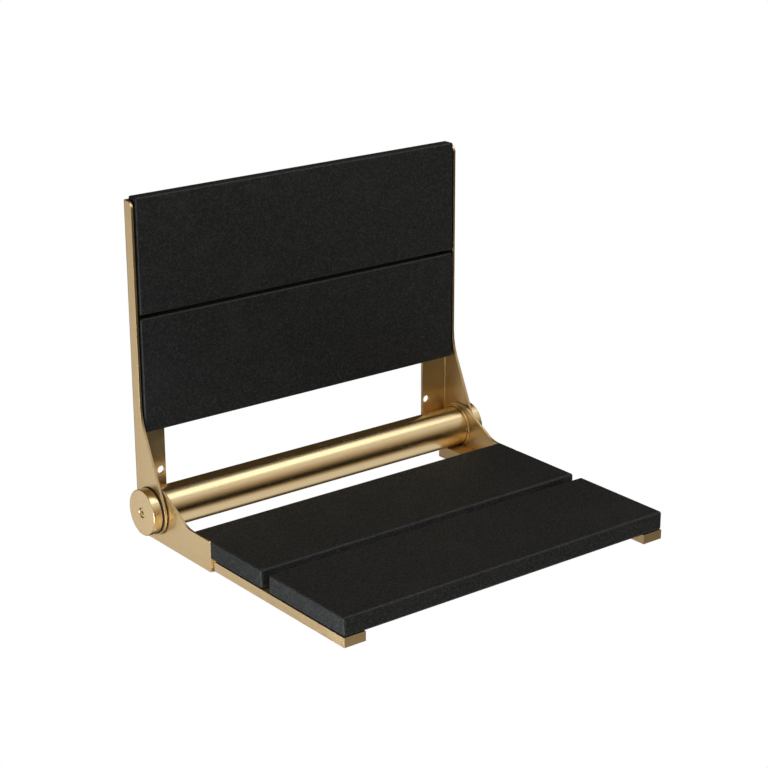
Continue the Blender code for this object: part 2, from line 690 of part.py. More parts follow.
def add_seat_screws():
    head = SEAT_SCREW_HEAD_HEIGHT
    profile = [
        (0, head),
        (SEAT_SCREW_CROWN * SEAT_SCREW_HEAD_RADIUS, head),
        (SEAT_SCREW_HEAD_RADIUS, SEAT_SCREW_RIM * head),
        (SEAT_SCREW_HEAD_RADIUS, 0),
        (SLAT_SCREW_RADIUS, 0),
        (SLAT_SCREW_RADIUS, SLAT_SCREW_RADIUS / 2 - SEAT_SCREW_LENGTH),
        (0, -SEAT_SCREW_LENGTH),
    ]
    for side_name, side in SIDES.items():
        for number, y in enumerate(seat_screw_places(), 1):
            upside_down = Matrix.Rotation(math.pi, 4, "X")
            place = Matrix.Translation((side * SEAT_SCREW_X, y, seat_screw_seat())) @ upside_down
            screw = add_turned(f"seat_slat_screw_{side_name}_{number}", profile, place, SMALL_STEPS)
            finish(screw, seat_hinge, stainless("seat slat screw"))


def add_hinge_tube(name):
    place = Matrix.Translation(PIVOT) @ along_x(1)
    profile = tube_profile(TUBE_RADIUS - TUBE_WALL, TUBE_RADIUS, TUBE_END, -TUBE_END)
    return finish(add_turned(name, profile, place, ring=True), seat_hinge, brushed_gold("hinge tube", 0.24))


# The whole object ---------------------------------------------------------------------------------


def build_wall_frame():
    for name, side in SIDES.items():
        add_upright(f"upright_{name}", side)
        add_pivot_pin(f"pivot_pin_{name}", side)
        add_ring(
            f"outer_washer_{name}",
            side,
            PIN_HOLE_RADIUS,
            OUTER_WASHER_RADIUS,
            UPRIGHT_OUTER + FIT_GAP + WASHER_THICKNESS,
            WASHER_THICKNESS,
            wall_frame,
            black_nylon("outer washer"),
        )
        add_knob(f"end_knob_{name}", side)
        add_knob_screw(f"knob_screw_{name}", side)
    for name, middle in back_slat_middles().items():
        add_back_slat(f"back_slat_{name}", middle)
    add_back_screws()


def build_seat():
    for name, side in SIDES.items():
        add_arm(f"seat_arm_{name}", side)
        add_rail(f"seat_rail_{name}", side)
        add_ring(
            f"inner_washer_{name}",
            side,
            PIN_HOLE_RADIUS,
            INNER_WASHER_RADIUS,
            ARM_OUTER + FIT_GAP + WASHER_THICKNESS,
            WASHER_THICKNESS,
            seat_hinge,
            black_nylon("inner washer"),
        )
        add_ring(
            f"tube_collar_{name}",
            side,
            TUBE_RADIUS + FIT_GAP,
            TUBE_RADIUS + FIT_GAP + COLLAR_WALL,
            TUBE_END,
            COLLAR_WIDTH,
            seat_hinge,
            brushed_gold("tube collar"),
        )
        add_ring(
            f"tube_plug_{name}",
            side,
            BUSH_HOLE_RADIUS,
            TUBE_RADIUS - TUBE_WALL - FIT_GAP,
            TUBE_END,
            PLUG_LENGTH,
            seat_hinge,
            stainless("tube plug"),
        )
        add_ring(
            f"pivot_bush_{name}",
            side,
            PIN_HOLE_RADIUS,
            BUSH_RADIUS,
            ARM_OUTER,
            BUSH_LENGTH,
            seat_hinge,
            black_nylon("pivot bush"),
            PIN_STEPS,
        )
    for name, middle in seat_slat_middles().items():
        add_seat_slat(f"seat_slat_{name}", middle)
    add_seat_screws()
    add_hinge_tube("hinge_tube")


clear_scene()
parts = new_collection("fold_down_shower_seat")
cutters = new_collection("fold_down_shower_seat_cutters", hidden=True)
wall_frame = add_parent("wall_frame", (0, 0, 0))
seat_hinge = add_parent("seat_hinge", PIVOT)
build_wall_frame()
build_seat()
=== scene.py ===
"""Fold-down shower seat: brushed gold frame, black slats, round end knobs.

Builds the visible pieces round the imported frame, gives every piece its finish, and sets up a plain
studio. The sidebar panel lists the operators in the order in which a full build runs them.
"""

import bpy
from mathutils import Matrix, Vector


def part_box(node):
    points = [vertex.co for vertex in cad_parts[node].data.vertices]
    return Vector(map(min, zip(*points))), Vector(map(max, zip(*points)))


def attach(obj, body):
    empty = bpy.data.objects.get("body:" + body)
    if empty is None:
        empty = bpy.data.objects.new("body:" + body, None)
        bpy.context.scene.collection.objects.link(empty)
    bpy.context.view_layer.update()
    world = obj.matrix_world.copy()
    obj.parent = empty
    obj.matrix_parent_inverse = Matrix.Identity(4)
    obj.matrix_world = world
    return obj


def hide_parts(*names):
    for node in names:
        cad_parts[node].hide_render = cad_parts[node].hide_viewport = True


bl_info = {
    "name": "Fold-down Shower Seat",
    "version": (1, 0, 0),
    "blender": (4, 5, 0),
    "location": "3D View > Sidebar > Shower Seat",
    "description": "Builds the pieces, finishes and studio of a wall-mounted fold-down shower seat",
    "category": "Add Mesh",
}

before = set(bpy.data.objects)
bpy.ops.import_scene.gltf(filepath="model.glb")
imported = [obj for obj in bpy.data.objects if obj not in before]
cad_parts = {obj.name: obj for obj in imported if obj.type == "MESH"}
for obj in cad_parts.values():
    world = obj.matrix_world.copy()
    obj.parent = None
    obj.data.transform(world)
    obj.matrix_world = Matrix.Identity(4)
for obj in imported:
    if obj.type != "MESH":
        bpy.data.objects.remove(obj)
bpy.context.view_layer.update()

import math

import bmesh
import bpy
from bpy.props import FloatProperty, FloatVectorProperty, IntProperty, PointerProperty
from bpy.types import Operator, Panel, PropertyGroup
from mathutils import Matrix, Vector

MM = 0.001
WELD = 0.002 * MM  # points this close are one
FLAT = math.radians(0.5)  # faces that meet at less than this are one flat face
SHARP = math.radians(38)  # a crease this sharp isn't smoothed over
QUARTER = math.pi / 2
EDGE = "edge"  # face attribute: 1 on a broken or rounded edge
SIDES = ("left", "right")


# Sizes taken from the frame -----------------------------------------------------------------------


def centre_of(node):
    low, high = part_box(node)
    return (low + high) / 2


def size_of(node):
    low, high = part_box(node)
    return high - low


def outer_radius(node):
    """Radius of a piece turned about the hinge axis."""
    return size_of(node).z / 2


def outer_face(node):
    """How far a right-hand piece reaches from the middle of the seat."""
    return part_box(node)[1].x


def matching(start):
    """The frame's nodes whose names begin this way, in order."""
    return sorted(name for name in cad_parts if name.startswith(start))


HINGE = centre_of("hinge_tube")
FIT_GAP = outer_face("seat_arm_right") - size_of("seat_arm_right").x - outer_face("hinge_tube")


# Settings -----------------------------------------------------------------------------------------


def colour_setting(name, description, default):
    return FloatVectorProperty(
        name=name, description=description, subtype="COLOR", min=0, max=1, default=default
    )


def share_setting(name, description, default):
    return FloatProperty(name=name, description=description, min=0, max=1, default=default)


def length_setting(name, description, default, least=0.0):
    return FloatProperty(name=name, description=description, unit="LENGTH", min=least, default=default)


def angle_setting(name, description, degrees):
    angle = math.radians(degrees)
    return FloatProperty(name=name, description=description, unit="ROTATION", default=angle)


def power_setting(name, description, watts):
    return FloatProperty(name=name, description=description, unit="POWER", min=0, default=watts)


def count_setting(name, description, default, least):
    return IntProperty(name=name, description=description, min=least, default=default)


class SHOWERSEAT_PG_finish(PropertyGroup):
    """Colours and surface texture."""

    gold: colour_setting("Gold", "Colour of the brushed gold", (0.82, 0.645, 0.385))
    deep_gold: colour_setting("Deep gold", "Colour between the brush lines", (0.70, 0.53, 0.28))
    slat: colour_setting("Slat", "Colour of the black composite slats", (0.0078, 0.0083, 0.0091))
    nylon: colour_setting("Nylon", "Colour of the washers and bushes", (0.010, 0.010, 0.011))
    steel: colour_setting("Steel", "Colour of the slat screws, pins and plugs", (0.56, 0.55, 0.53))
    plate_roughness: share_setting("Plate roughness", "Roughness of the flat gold plates", 0.34)
    tube_roughness: share_setting("Tube roughness", "Roughness of the hinge tube and knobs", 0.22)
    slat_roughness: share_setting("Slat roughness", "Roughness of the slats on their pebbles", 0.5)
    pebble_size: length_setting("Pebble size", "Width of one pebble", 1.5 * MM, least=0.2 * MM)
    line_width: length_setting("Brush line", "Width of one brush line", 0.5 * MM, least=0.05 * MM)


class SHOWERSEAT_PG_shape(PropertyGroup):
    """Sizes that the frame leaves open."""

    plate_edge: length_setting("Plate edge", "Width of the broken edge on plates and rails", 0.4 * MM)
    slat_edge: length_setting("Seat slat edge", "Edge radius of a seat slat", 3.0 * MM)
    back_slat_edge: length_setting("Back slat edge", "Edge radius of a back slat", 2.0 * MM)
    slat_edge_steps: count_setting("Slat edge steps", "Strips in each half of a slat's edge", 4, 1)
    knob_edge: length_setting("Knob edge", "Radius round the rim of an end knob", 0.9 * MM)
    ring_edge: length_setting("Ring edge", "Edge radius of the tube and its rings", 0.4 * MM)
    tube_wall: length_setting("Tube wall", "Wall of the hinge tube", 2.0 * MM)
    turned_steps: count_setting("Turned steps", "Steps round a large turned piece", 128, 12)
    screw_steps: count_setting("Screw steps", "Steps round a slat screw", 30, 12)
    thread_pitch: length_setting("Thread pitch", "Rise in one turn", 1.0 * MM, least=0.3 * MM)
    thread_depth: length_setting("Thread depth", "Depth of a screw thread", 0.45 * MM)
    slat_screw_radius: length_setting("Slat screw", "Radius of a slat screw over its thread", 2.1 * MM)
    slat_screw_head: length_setting("Slat screw head", "Height of a slat screw's head", 2.4 * MM)
    slat_screw_socket: length_setting("Slat screw socket", "Radius of its hexagon socket", 1.7 * MM)
    knob_screw_radius: length_setting("Knob screw", "Radius of a knob screw over its thread", 3.0 * MM)
    knob_screw_head: length_setting("Knob screw head", "Height of a knob screw's head", 5.5 * MM)
    knob_screw_socket: length_setting("Knob screw socket", "Radius of its hexagon socket", 3.0 * MM)
    arm_notch_gap: length_setting("Arm notch gap", "Clearance round an arm in the rear slat", 0.3 * MM)


class SHOWERSEAT_PG_studio(PropertyGroup):
    """Camera, floor and light."""

    camera_place: FloatVectorProperty(
        name="Camera place",
        description="Where the camera stands",
        subtype="TRANSLATION",
        unit="LENGTH",
        default=(-1.3425, -1.9120, 0.9059),
    )
    camera_heading: angle_setting("Camera heading", "Turn of the view from +Y towards +X", 37.66)
    camera_tilt: angle_setting("Camera tilt", "Tilt of the view below the horizon", 19.16)
    camera_roll: angle_setting("Camera roll", "Turn of the camera about its own view", -0.21)
    lens: FloatProperty(
        name="Lens",
        description="Focal length, in millimetres on a 36 mm frame",
        min=1,
        default=94.94,
    )
    floor_drop: length_setting("Floor", "Depth of the floor below the seat's surface", 0.48)
    top_light: power_setting("Top light", "Power of the softbox above the seat, in watts", 4.3)
    side_light: power_setting("Side light", "Power of the softbox behind on the left, in watts", 1.6)
    front_light: power_setting("Front light", "Power of the softbox low on the left, in watts", 3.0)


class SHOWERSEAT_PG_settings(PropertyGroup):
    """Everything that can be set."""

    finish: PointerProperty(type=SHOWERSEAT_PG_finish)
    shape: PointerProperty(type=SHOWERSEAT_PG_shape)
    studio: PointerProperty(type=SHOWERSEAT_PG_studio)


# Node trees ---------------------------------------------------------------------------------------

SOCKETS = {
    "geometry": "NodeSocketGeometry",
    "value": "NodeSocketFloat",
    "count": "NodeSocketInt",
    "vector": "NodeSocketVector",
    "colour": "NodeSocketColor",
    "material": "NodeSocketMaterial",
    "object": "NodeSocketObject",
}


def new_tree(kind, name, inputs, outputs):
    """A node group with these named sockets: its tree, its given values and its results."""
    tree = bpy.data.node_groups.new(name, kind)
    for way, sockets in (("INPUT", inputs), ("OUTPUT", outputs)):
        for label, socket in sockets.items():
            tree.interface.new_socket(label, in_out=way, socket_type=SOCKETS[socket])
    given = tree.nodes.new("NodeGroupInput").outputs
    results = tree.nodes.new("NodeGroupOutput").inputs
    return tree, given, results


def feed(tree, socket, value):
    """Joins a socket to another, or to several, or sets it."""
    if isinstance(value, bpy.types.NodeSocket):
        tree.links.new(value, socket)
    elif isinstance(value, list):
        for each in value:
            tree.links.new(each, socket)
    elif value is not None:
        socket.default_value = value


def add_node(tree, kind, inputs=None, **settings):
    """Adds a node, makes its settings and feeds its inputs, which go by name or by number."""
    node = tree.nodes.new(kind)
    for name, value in settings.items():
        setattr(node, name, value)
    for key, value in (inputs or {}).items():
        feed(tree, node.inputs[key], value)
    return node


def calc(tree, operation, first, second=0.0, **settings):
    inputs = {0: first, 1: second}
    return add_node(tree, "ShaderNodeMath", inputs, operation=operation, **settings).outputs[0]


def vector_calc(tree, operation, first, second=(0.0, 0.0, 0.0)):
    inputs = {0: first, 1: second}
    return add_node(tree, "ShaderNodeVectorMath", inputs, operation=operation).outputs[0]


def blend(tree, factor, first, second, kind="MIX"):
    """Mixes two colours."""
    settings = {"data_type": "RGBA", "blend_type": kind}
    inputs = {0: factor, 6: first, 7: second}
    return add_node(tree, "ShaderNodeMix", inputs, **settings).outputs[2]


def spread_out(tree, value, low, high, smooth=False, to_low=0.0, to_high=1.0):
    """Maps a value from low..high to to_low..to_high, and holds it there."""
    kind = "SMOOTHSTEP" if smooth else "LINEAR"
    inputs = {
        "Value": value,
        "From Min": low,
        "From Max": high,
        "To Min": to_low,
        "To Max": to_high,
    }
    return add_node(tree, "ShaderNodeMapRange", inputs, interpolation_type=kind).outputs["Result"]


def fill_ramp(ramp, levels):
    """Sets a colour ramp to these grey levels, whose places run from -1 to 1."""
    while len(ramp.elements) < len(levels):
        ramp.elements.new(0.5)
    for element, (place, level) in zip(ramp.elements, levels):
        element.position = (place + 1) / 2
        element.color = (level, level, level, 1.0)


def use_group(tree, group, inputs):
    kind = "GeometryNodeGroup" if tree.bl_idname == "GeometryNodeTree" else "ShaderNodeGroup"
    node = tree.nodes.new(kind)
    node.node_tree = group
    for key, value in inputs.items():
        feed(tree, node.inputs[key], value)
    return node.outputs


def once(name, make):
    """The node group of this name, made the first time that it is asked for."""
    return bpy.data.node_groups.get(name) or make(name)


def scaled(tree, value, factor):
    return calc(tree, "MULTIPLY", value, factor)


def noise(tree, vector, scale, detail, **inputs):
    inputs = {"Vector": vector, "Scale": scale, "Detail": detail, **inputs}
    return add_node(tree, "ShaderNodeTexNoise", inputs).outputs[0]


# Shader groups ------------------------------------------------------------------------------------

# How fine the parts of the slats' grain are, beside the pebbles.
GRIT_FINENESS = 2.3
SPECK_FINENESS = 0.55
MOTTLE_FINENESS = 0.45
PATCH_FINENESS = 0.12
GLINT_FINENESS = 260.0  # spots of the painted highlight on a broken edge, in each metre


def make_brush_lines(name):
    """Fine parallel lines, and a slow drift in tone."""
    sockets = {"Vector": "vector", "Line Scale": "vector", "Drift Scale": "value"}
    made = {"Lines": "value", "Drift": "value"}
    tree, given, results = new_tree("ShaderNodeTree", name, sockets, made)
    stretched = vector_calc(tree, "MULTIPLY", given["Vector"], given["Line Scale"])
    lines = noise(tree, stretched, 1.0, 5.0, Roughness=0.65)
    drift = noise(tree, given["Vector"], given["Drift Scale"], 3.0)
    feed(tree, results["Lines"], spread_out(tree, lines, 0.3, 0.7))
    feed(tree, results["Drift"], spread_out(tree, drift, 0.35, 0.65))
    return tree


def make_handling(name):
    """Patches where the surface is a little duller, from wiping and drying water."""
    sockets = {"Vector": "vector", "Size": "value"}
    tree, given, results = new_tree("ShaderNodeTree", name, sockets, {"Haze": "value"})
    scale = calc(tree, "DIVIDE", 1.0, given["Size"])
    cloud = noise(tree, given["Vector"], scale, 6.0, Roughness=0.6, Distortion=0.8)
    feed(tree, results["Haze"], spread_out(tree, cloud, 0.48, 0.72, smooth=True))
    return tree


def make_pebbles(name):
    """The slats' cast grain: crowded low pebbles, fine grit on them, and a few pale specks. Its low
    parts come out as a mask that roughens them and carries painted shade.
    """
    sockets = {"Vector": "vector", "Size": "value"}
    made = {"Height": "value", "Pits": "value", "Mottle": "value", "Specks": "value"}
    tree, given, results = new_tree("ShaderNodeTree", name, sockets, made)
    place = given["Vector"]
    scale = calc(tree, "DIVIDE", 1.0, given["Size"])
    inputs = {"Vector": place, "Scale": scale, "Smoothness": 0.6, "Randomness": 1.0}
    cells = add_node(tree, "ShaderNodeTexVoronoi", inputs, feature="SMOOTH_F1").outputs["Distance"]
    crowns = spread_out(tree, cells, 0.1, 0.75, to_low=1.0, to_high=0.0)
    grit = noise(tree, place, scaled(tree, scale, GRIT_FINENESS), 4.0)
    height = calc(tree, "ADD", scaled(tree, crowns, 0.6), scaled(tree, grit, 0.4))
    inputs = {"Vector": place, "Scale": scaled(tree, scale, SPECK_FINENESS), "Randomness": 1.0}
    far = add_node(tree, "ShaderNodeTexVoronoi", inputs).outputs["Distance"]
    mottle = noise(tree, place, scaled(tree, scale, MOTTLE_FINENESS), 3.0)
    patches = noise(tree, place, scaled(tree, scale, PATCH_FINENESS), 2.0)
    where = spread_out(tree, patches, 0.5, 0.62)
    feed(tree, results["Height"], height)
    # the pebbles' low parts: the slat material darkens them as painted shade and makes them rougher
    feed(tree, results["Pits"], spread_out(tree, height, 0.5, 0.3))
    feed(tree, results["Mottle"], spread_out(tree, mottle, 0.40, 0.64))
    feed(tree, results["Specks"], scaled(tree, spread_out(tree, far, 0.16, 0.08), where))
    return tree


def make_painted_edge_glint(name):
    """Painted highlight on a broken edge: the edge faces, less a little at random."""
    sockets = {"Vector": "vector", "Edge": "value"}
    tree, given, results = new_tree("ShaderNodeTree", name, sockets, {"Worn": "value"})
    patches = noise(tree, given["Vector"], GLINT_FINENESS, 3.0)
    kept = spread_out(tree, patches, 0.35, 0.6, to_low=0.45)
    feed(tree, results["Worn"], calc(tree, "MULTIPLY", given["Edge"], kept, use_clamp=True))
    return tree


# Materials ----------------------------------------------------------------------------------------

LINE_STRETCH = 40  # a brush line is this many times as long as it is wide
LINE_DEPTH = 0.02 * MM
PEBBLE_DEPTH = 0.6 * MM
NYLON_GRAIN = 0.25 * MM
NYLON_GRAIN_DEPTH = 0.03 * MM
STEEL_LINES = (4000.0, 900.0, 900.0)  # turning marks in each metre, along X, Y and Z
# Patches of a slightly different tone in each metre.
GOLD_DRIFT = 14.0
STEEL_DRIFT = 90.0
# Width of a dull patch.
GOLD_HAZE = 35 * MM
SLAT_HAZE = 60 * MM
NYLON_HAZE = 10 * MM
STEEL_HAZE = 4 * MM
SPECK = (0.16, 0.155, 0.14)  # colour of the pale specks in a slat
SHEEN = (0.86, 0.95, 1.0)  # tint of the slats' highlights


def new_material(name):
    """A new material: itself, its tree, its Principled shader and the object coordinates."""
    material = bpy.data.materials.new(name)
    material.use_nodes = True
    tree = material.node_tree
    shader = tree.nodes["Principled BSDF"]
    place = tree.nodes.new("ShaderNodeTexCoord").outputs["Object"]
    return material, tree, shader, place


def rgb(colour):
    return (*colour, 1.0)


def tinted(colour, factor):
    """The colour made darker or paler by a factor."""
    return rgb([min(1.0, factor * part) for part in colour])


def brush_lines(tree, place, line_scale, drift_scale):
    inputs = {"Vector": place, "Line Scale": line_scale, "Drift Scale": drift_scale}
    made = use_group(tree, once("Brush lines", make_brush_lines), inputs)
    return made["Lines"], made["Drift"]


def haze_patches(tree, place, width):
    return use_group(tree, once("Handling", make_handling), {"Vector": place, "Size": width})["Haze"]


def pebbles(tree, place, size):
    return use_group(tree, once("Pebbles", make_pebbles), {"Vector": place, "Size": size})


# The edge mask that carries the painted edge highlight.
def painted_edge_glints(tree, place):
    edge = add_node(tree, "ShaderNodeAttribute", attribute_name=EDGE).outputs["Fac"]
    group = once("Worn edge", make_painted_edge_glint)
    return use_group(tree, group, {"Vector": place, "Edge": edge})["Worn"]


def add_bump(tree, shader, height, strength, depth):
    inputs = {"Height": height, "Strength": strength, "Distance": depth}
    feed(tree, shader.inputs["Normal"], add_node(tree, "ShaderNodeBump", inputs).outputs[0])


def gold(name, along, roughness, settings, bump=0.05):
    """Brushed gold. The brush lines run along the axis that is named, 0 to 2."""
    found = bpy.data.materials.get(name)
    if found:
        return found
    material, tree, shader, place = new_material(name)
    fine = 1.0 / settings.line_width
    scale = tuple(fine / LINE_STRETCH if axis == along else fine for axis in range(3))
    lines, drift = brush_lines(tree, place, scale, GOLD_DRIFT)
    haze = haze_patches(tree, place, GOLD_HAZE)
    edge_glint = painted_edge_glints(tree, place)
    deep = rgb(settings.deep_gold)
    tone = calc(tree, "ADD", 0.10, scaled(tree, lines, 1.25))
    base = blend(tree, tone, deep, rgb(settings.gold))
    base = blend(tree, scaled(tree, drift, 0.10), base, deep)
    # Painted highlight: the broken edges are mixed towards a paler gold to stand in for their glint;
    # they are also a little smoother.
    base = blend(tree, edge_glint, base, tinted(settings.gold, 1.12))
    feed(tree, shader.inputs["Base Color"], base)
    rough = calc(tree, "ADD", roughness - 0.04, scaled(tree, lines, 0.08))
    rough = calc(tree, "ADD", rough, scaled(tree, haze, 0.05))
    rough = calc(tree, "SUBTRACT", rough, scaled(tree, edge_glint, 0.08))
    feed(tree, shader.inputs["Roughness"], rough)
    add_bump(tree, shader, lines, bump, LINE_DEPTH)
    shader.inputs["Metallic"].default_value = 1.0
    return material


def black_slat(settings):
    """Black composite with a sandblasted, pebbled skin."""
    found = bpy.data.materials.get("black_composite")
    if found:
        return found
    material, tree, shader, place = new_material("black_composite")
    shader.inputs["Specular Tint"].default_value = rgb(SHEEN)
    grain = pebbles(tree, place, settings.pebble_size)
    haze = haze_patches(tree, place, SLAT_HAZE)
    edge_glint = painted_edge_glints(tree, place)
    dark = tinted(settings.slat, 0.25)
    pale = tinted(settings.slat, 3.2)
    base = blend(tree, grain["Mottle"], dark, pale)
    # Painted shade: the pebbles' low parts are darkened as if shade fell in them.
    base = blend(tree, grain["Pits"], base, dark)
    base = blend(tree, scaled(tree, haze, 0.25), base, pale)
    # Painted highlight: the rounded edges are mixed towards a paler black to stand in for their sheen.
    base = blend(tree, scaled(tree, edge_glint, 0.35), base, pale)
    base = blend(tree, scaled(tree, grain["Specks"], 0.5), base, rgb(SPECK))
    feed(tree, shader.inputs["Base Color"], base)
    rough = calc(tree, "ADD", settings.slat_roughness, scaled(tree, grain["Pits"], 0.2))
    rough = calc(tree, "SUBTRACT", rough, scaled(tree, edge_glint, 0.1))
    feed(tree, shader.inputs["Roughness"], rough)
    add_bump(tree, shader, grain["Height"], 1.0, PEBBLE_DEPTH)
    return material


def black_nylon(settings):
    """Moulded nylon: nearly black, with a fine grain and dull patches."""
    found = bpy.data.materials.get("black_nylon")
    if found:
        return found
    material, tree, shader, place = new_material("black_nylon")
    haze = haze_patches(tree, place, NYLON_HAZE)
    base = blend(tree, haze, rgb(settings.nylon), tinted(settings.nylon, 2.5))
    feed(tree, shader.inputs["Base Color"], base)
    rough = spread_out(tree, haze, 0.0, 1.0, to_low=0.38, to_high=0.55)
    feed(tree, shader.inputs["Roughness"], rough)
    grain = pebbles(tree, place, NYLON_GRAIN)
    add_bump(tree, shader, grain["Height"], 0.2, NYLON_GRAIN_DEPTH)
    return material


def stainless(settings, name, roughness):
    """Stainless steel, turned or cold-headed, with a faint drift in tone."""
    found = bpy.data.materials.get(name)
    if found:
        return found
    material, tree, shader, place = new_material(name)
    lines, drift = brush_lines(tree, place, STEEL_LINES, STEEL_DRIFT)
    haze = haze_patches(tree, place, STEEL_HAZE)
    base = blend(tree, drift, rgb(settings.steel), tinted(settings.steel, 0.8))
    feed(tree, shader.inputs["Base Color"], base)
    rough = calc(tree, "ADD", roughness, scaled(tree, haze, 0.12))
    rough = calc(tree, "ADD", rough, scaled(tree, lines, 0.06))
    feed(tree, shader.inputs["Roughness"], rough)
    add_bump(tree, shader, lines, 0.1, LINE_DEPTH)
    shader.inputs["Metallic"].default_value = 1.0
    return material


# Geometry Nodes -----------------------------------------------------------------------------------

TURNED_INPUTS = {
    "Steps": "count",
    "Thread Pitch": "value",
    "Thread Depth": "value",
    "Socket Radius": "value",
    "Socket Depth": "value",
}
DRILL_STEPS = 20  # sides of a screw hole in a slat
LEAST_FLAT = 0.9995  # a face squarer to an axis than this isn't part of a rounded edge


def moved(tree, geometry, place=None, turn=None):
    inputs = {"Geometry": geometry, "Translation": place, "Rotation": turn}
    return add_node(tree, "GeometryNodeTransform", inputs).outputs[0]


def realized(tree, geometry):
    return add_node(tree, "GeometryNodeRealizeInstances", {"Geometry": geometry}).outputs[0]


def copies(tree, points, geometry):
    inputs = {"Points": points, "Instance": geometry}
    return add_node(tree, "GeometryNodeInstanceOnPoints", inputs).outputs[0]


def prism(tree, sides, radius, depth):
    """A prism whose middle is at height 0, so that its lower half cuts that deep."""
    inputs = {"Vertices": sides, "Radius": radius, "Depth": scaled(tree, depth, 2.0)}
    return add_node(tree, "GeometryNodeMeshCylinder", inputs, fill_type="NGON").outputs["Mesh"]


def cut_from(tree, mesh, tools):
    settings = {"operation": "DIFFERENCE", "solver": "EXACT"}
    inputs = {"Mesh 1": mesh, "Mesh 2": tools}
    return add_node(tree, "GeometryNodeMeshBoolean", inputs, **settings).outputs["Mesh"]


def choose(tree, condition, otherwise, chosen):
    inputs = {"Switch": condition, "False": otherwise, "True": chosen}
    return add_node(tree, "GeometryNodeSwitch", inputs, input_type="GEOMETRY").outputs[0]


def end_tree(tree, results, geometry, material):
    """Realizes the instances and sets the material, as every tree that makes a piece ends."""
    inputs = {"Geometry": realized(tree, geometry), "Material": material}
    feed(tree, results["Geometry"], add_node(tree, "GeometryNodeSetMaterial", inputs).outputs[0])


def make_turned(name):
    """Turns a profile about Z. A profile point is (radius, height, share of the thread's depth).

    The profile runs from the bottom outwards, up and back in. A hexagon socket is cut at height 0.
    """
    sockets = {"Profile": "geometry", **TURNED_INPUTS}
    tree, given, results = new_tree("GeometryNodeTree", name, sockets, {"Mesh": "geometry"})
    inputs = {"Geometry": given["Profile"]}
    rows = add_node(tree, "GeometryNodeAttributeDomainSize", inputs).outputs["Point Count"]
    inputs = {"Vertices X": calc(tree, "ADD", given["Steps"], 1.0), "Vertices Y": rows}
    grid = add_node(tree, "GeometryNodeMeshGrid", inputs).outputs["Mesh"]
    index = tree.nodes.new("GeometryNodeInputIndex").outputs[0]
    column = calc(tree, "FLOOR", calc(tree, "DIVIDE", calc(tree, "ADD", index, 0.5), rows))
    row = calc(tree, "SUBTRACT", index, calc(tree, "MULTIPLY", column, rows))
    turn = calc(tree, "DIVIDE", column, given["Steps"])
    angle = scaled(tree, turn, math.tau)
    position = tree.nodes.new("GeometryNodeInputPosition").outputs[0]
    inputs = {"Geometry": given["Profile"], "Value": position, "Index": row}
    settings = {"data_type": "FLOAT_VECTOR", "domain": "POINT"}
    sampled = add_node(tree, "GeometryNodeSampleIndex", inputs, **settings).outputs[0]
    radius, height, thread = add_node(tree, "ShaderNodeSeparateXYZ", {0: sampled}).outputs
    turns = calc(tree, "SUBTRACT", calc(tree, "DIVIDE", height, given["Thread Pitch"]), turn)
    groove = calc(tree, "MULTIPLY", calc(tree, "PINGPONG", turns, 0.5), given["Thread Depth"])
    sunk = calc(tree, "MULTIPLY", scaled(tree, groove, 2.0), thread)
    radius = calc(tree, "SUBTRACT", radius, sunk)
    across = calc(tree, "MULTIPLY", radius, calc(tree, "COSINE", angle))
    along = calc(tree, "MULTIPLY", radius, calc(tree, "SINE", angle))
    placed = add_node(tree, "ShaderNodeCombineXYZ", {0: across, 1: along, 2: height}).outputs[0]
    inputs = {"Geometry": grid, "Position": placed}
    turned = add_node(tree, "GeometryNodeSetPosition", inputs).outputs[0]
    inputs = {"Geometry": turned, "Distance": WELD}
    closed = add_node(tree, "GeometryNodeMergeByDistance", inputs).outputs[0]
    hexagon = prism(tree, 6, given["Socket Radius"], given["Socket Depth"])
    has_socket = calc(tree, "GREATER_THAN", given["Socket Depth"], 0.0)
    feed(tree, results["Mesh"], choose(tree, has_socket, closed, cut_from(tree, closed, hexagon)))
    return tree


def turned_piece(tree, given, profile):
    inputs = {"Profile": profile, **{key: given[key] for key in TURNED_INPUTS}}
    return use_group(tree, once("Turned piece", make_turned), inputs)["Mesh"]


def make_turned_ends(name, ways):
    """A turned piece on the hinge axis, its height 0 facing each of these ways: -1 is left."""
    sockets = {
        "Geometry": "geometry",
        **TURNED_INPUTS,
        "Outer Face": "value",
        "Hinge": "vector",
        "Material": "material",
    }
    tree, given, results = new_tree("GeometryNodeTree", name, sockets, {"Geometry": "geometry"})
    piece = turned_piece(tree, given, given["Geometry"])
    ends = []
    for way in ways:
        out = add_node(tree, "ShaderNodeCombineXYZ", {0: scaled(tree, given["Outer Face"], way)})
        place = vector_calc(tree, "ADD", out.outputs[0], given["Hinge"])
        ends.append(moved(tree, piece, place, (0.0, way * QUARTER, 0.0)))
    joined = add_node(tree, "GeometryNodeJoinGeometry", {"Geometry": ends}).outputs[0]
    end_tree(tree, results, joined, given["Material"])
    return tree


def make_turned_pair(name):
    """One piece at each end of the hinge axis."""
    return make_turned_ends(name, (-1, 1))


def make_turned_line(name):
    """One piece that reaches in from the right-hand end."""
    return make_turned_ends(name, (1,))


def make_screw_set(name):
    """A screw at each vertex of the given mesh, all turned the same way."""
    sockets = {
        "Geometry": "geometry",
        "Profile": "object",
        **TURNED_INPUTS,
        "Turn": "vector",
        "Material": "material",
    }
    tree, given, results = new_tree("GeometryNodeTree", name, sockets, {"Geometry": "geometry"})
    inputs = {"Object": given["Profile"]}
    profile = add_node(tree, "GeometryNodeObjectInfo", inputs).outputs["Geometry"]
    screw = moved(tree, turned_piece(tree, given, profile), turn=given["Turn"])
    end_tree(tree, results, copies(tree, given["Geometry"], screw), given["Material"])
    return tree


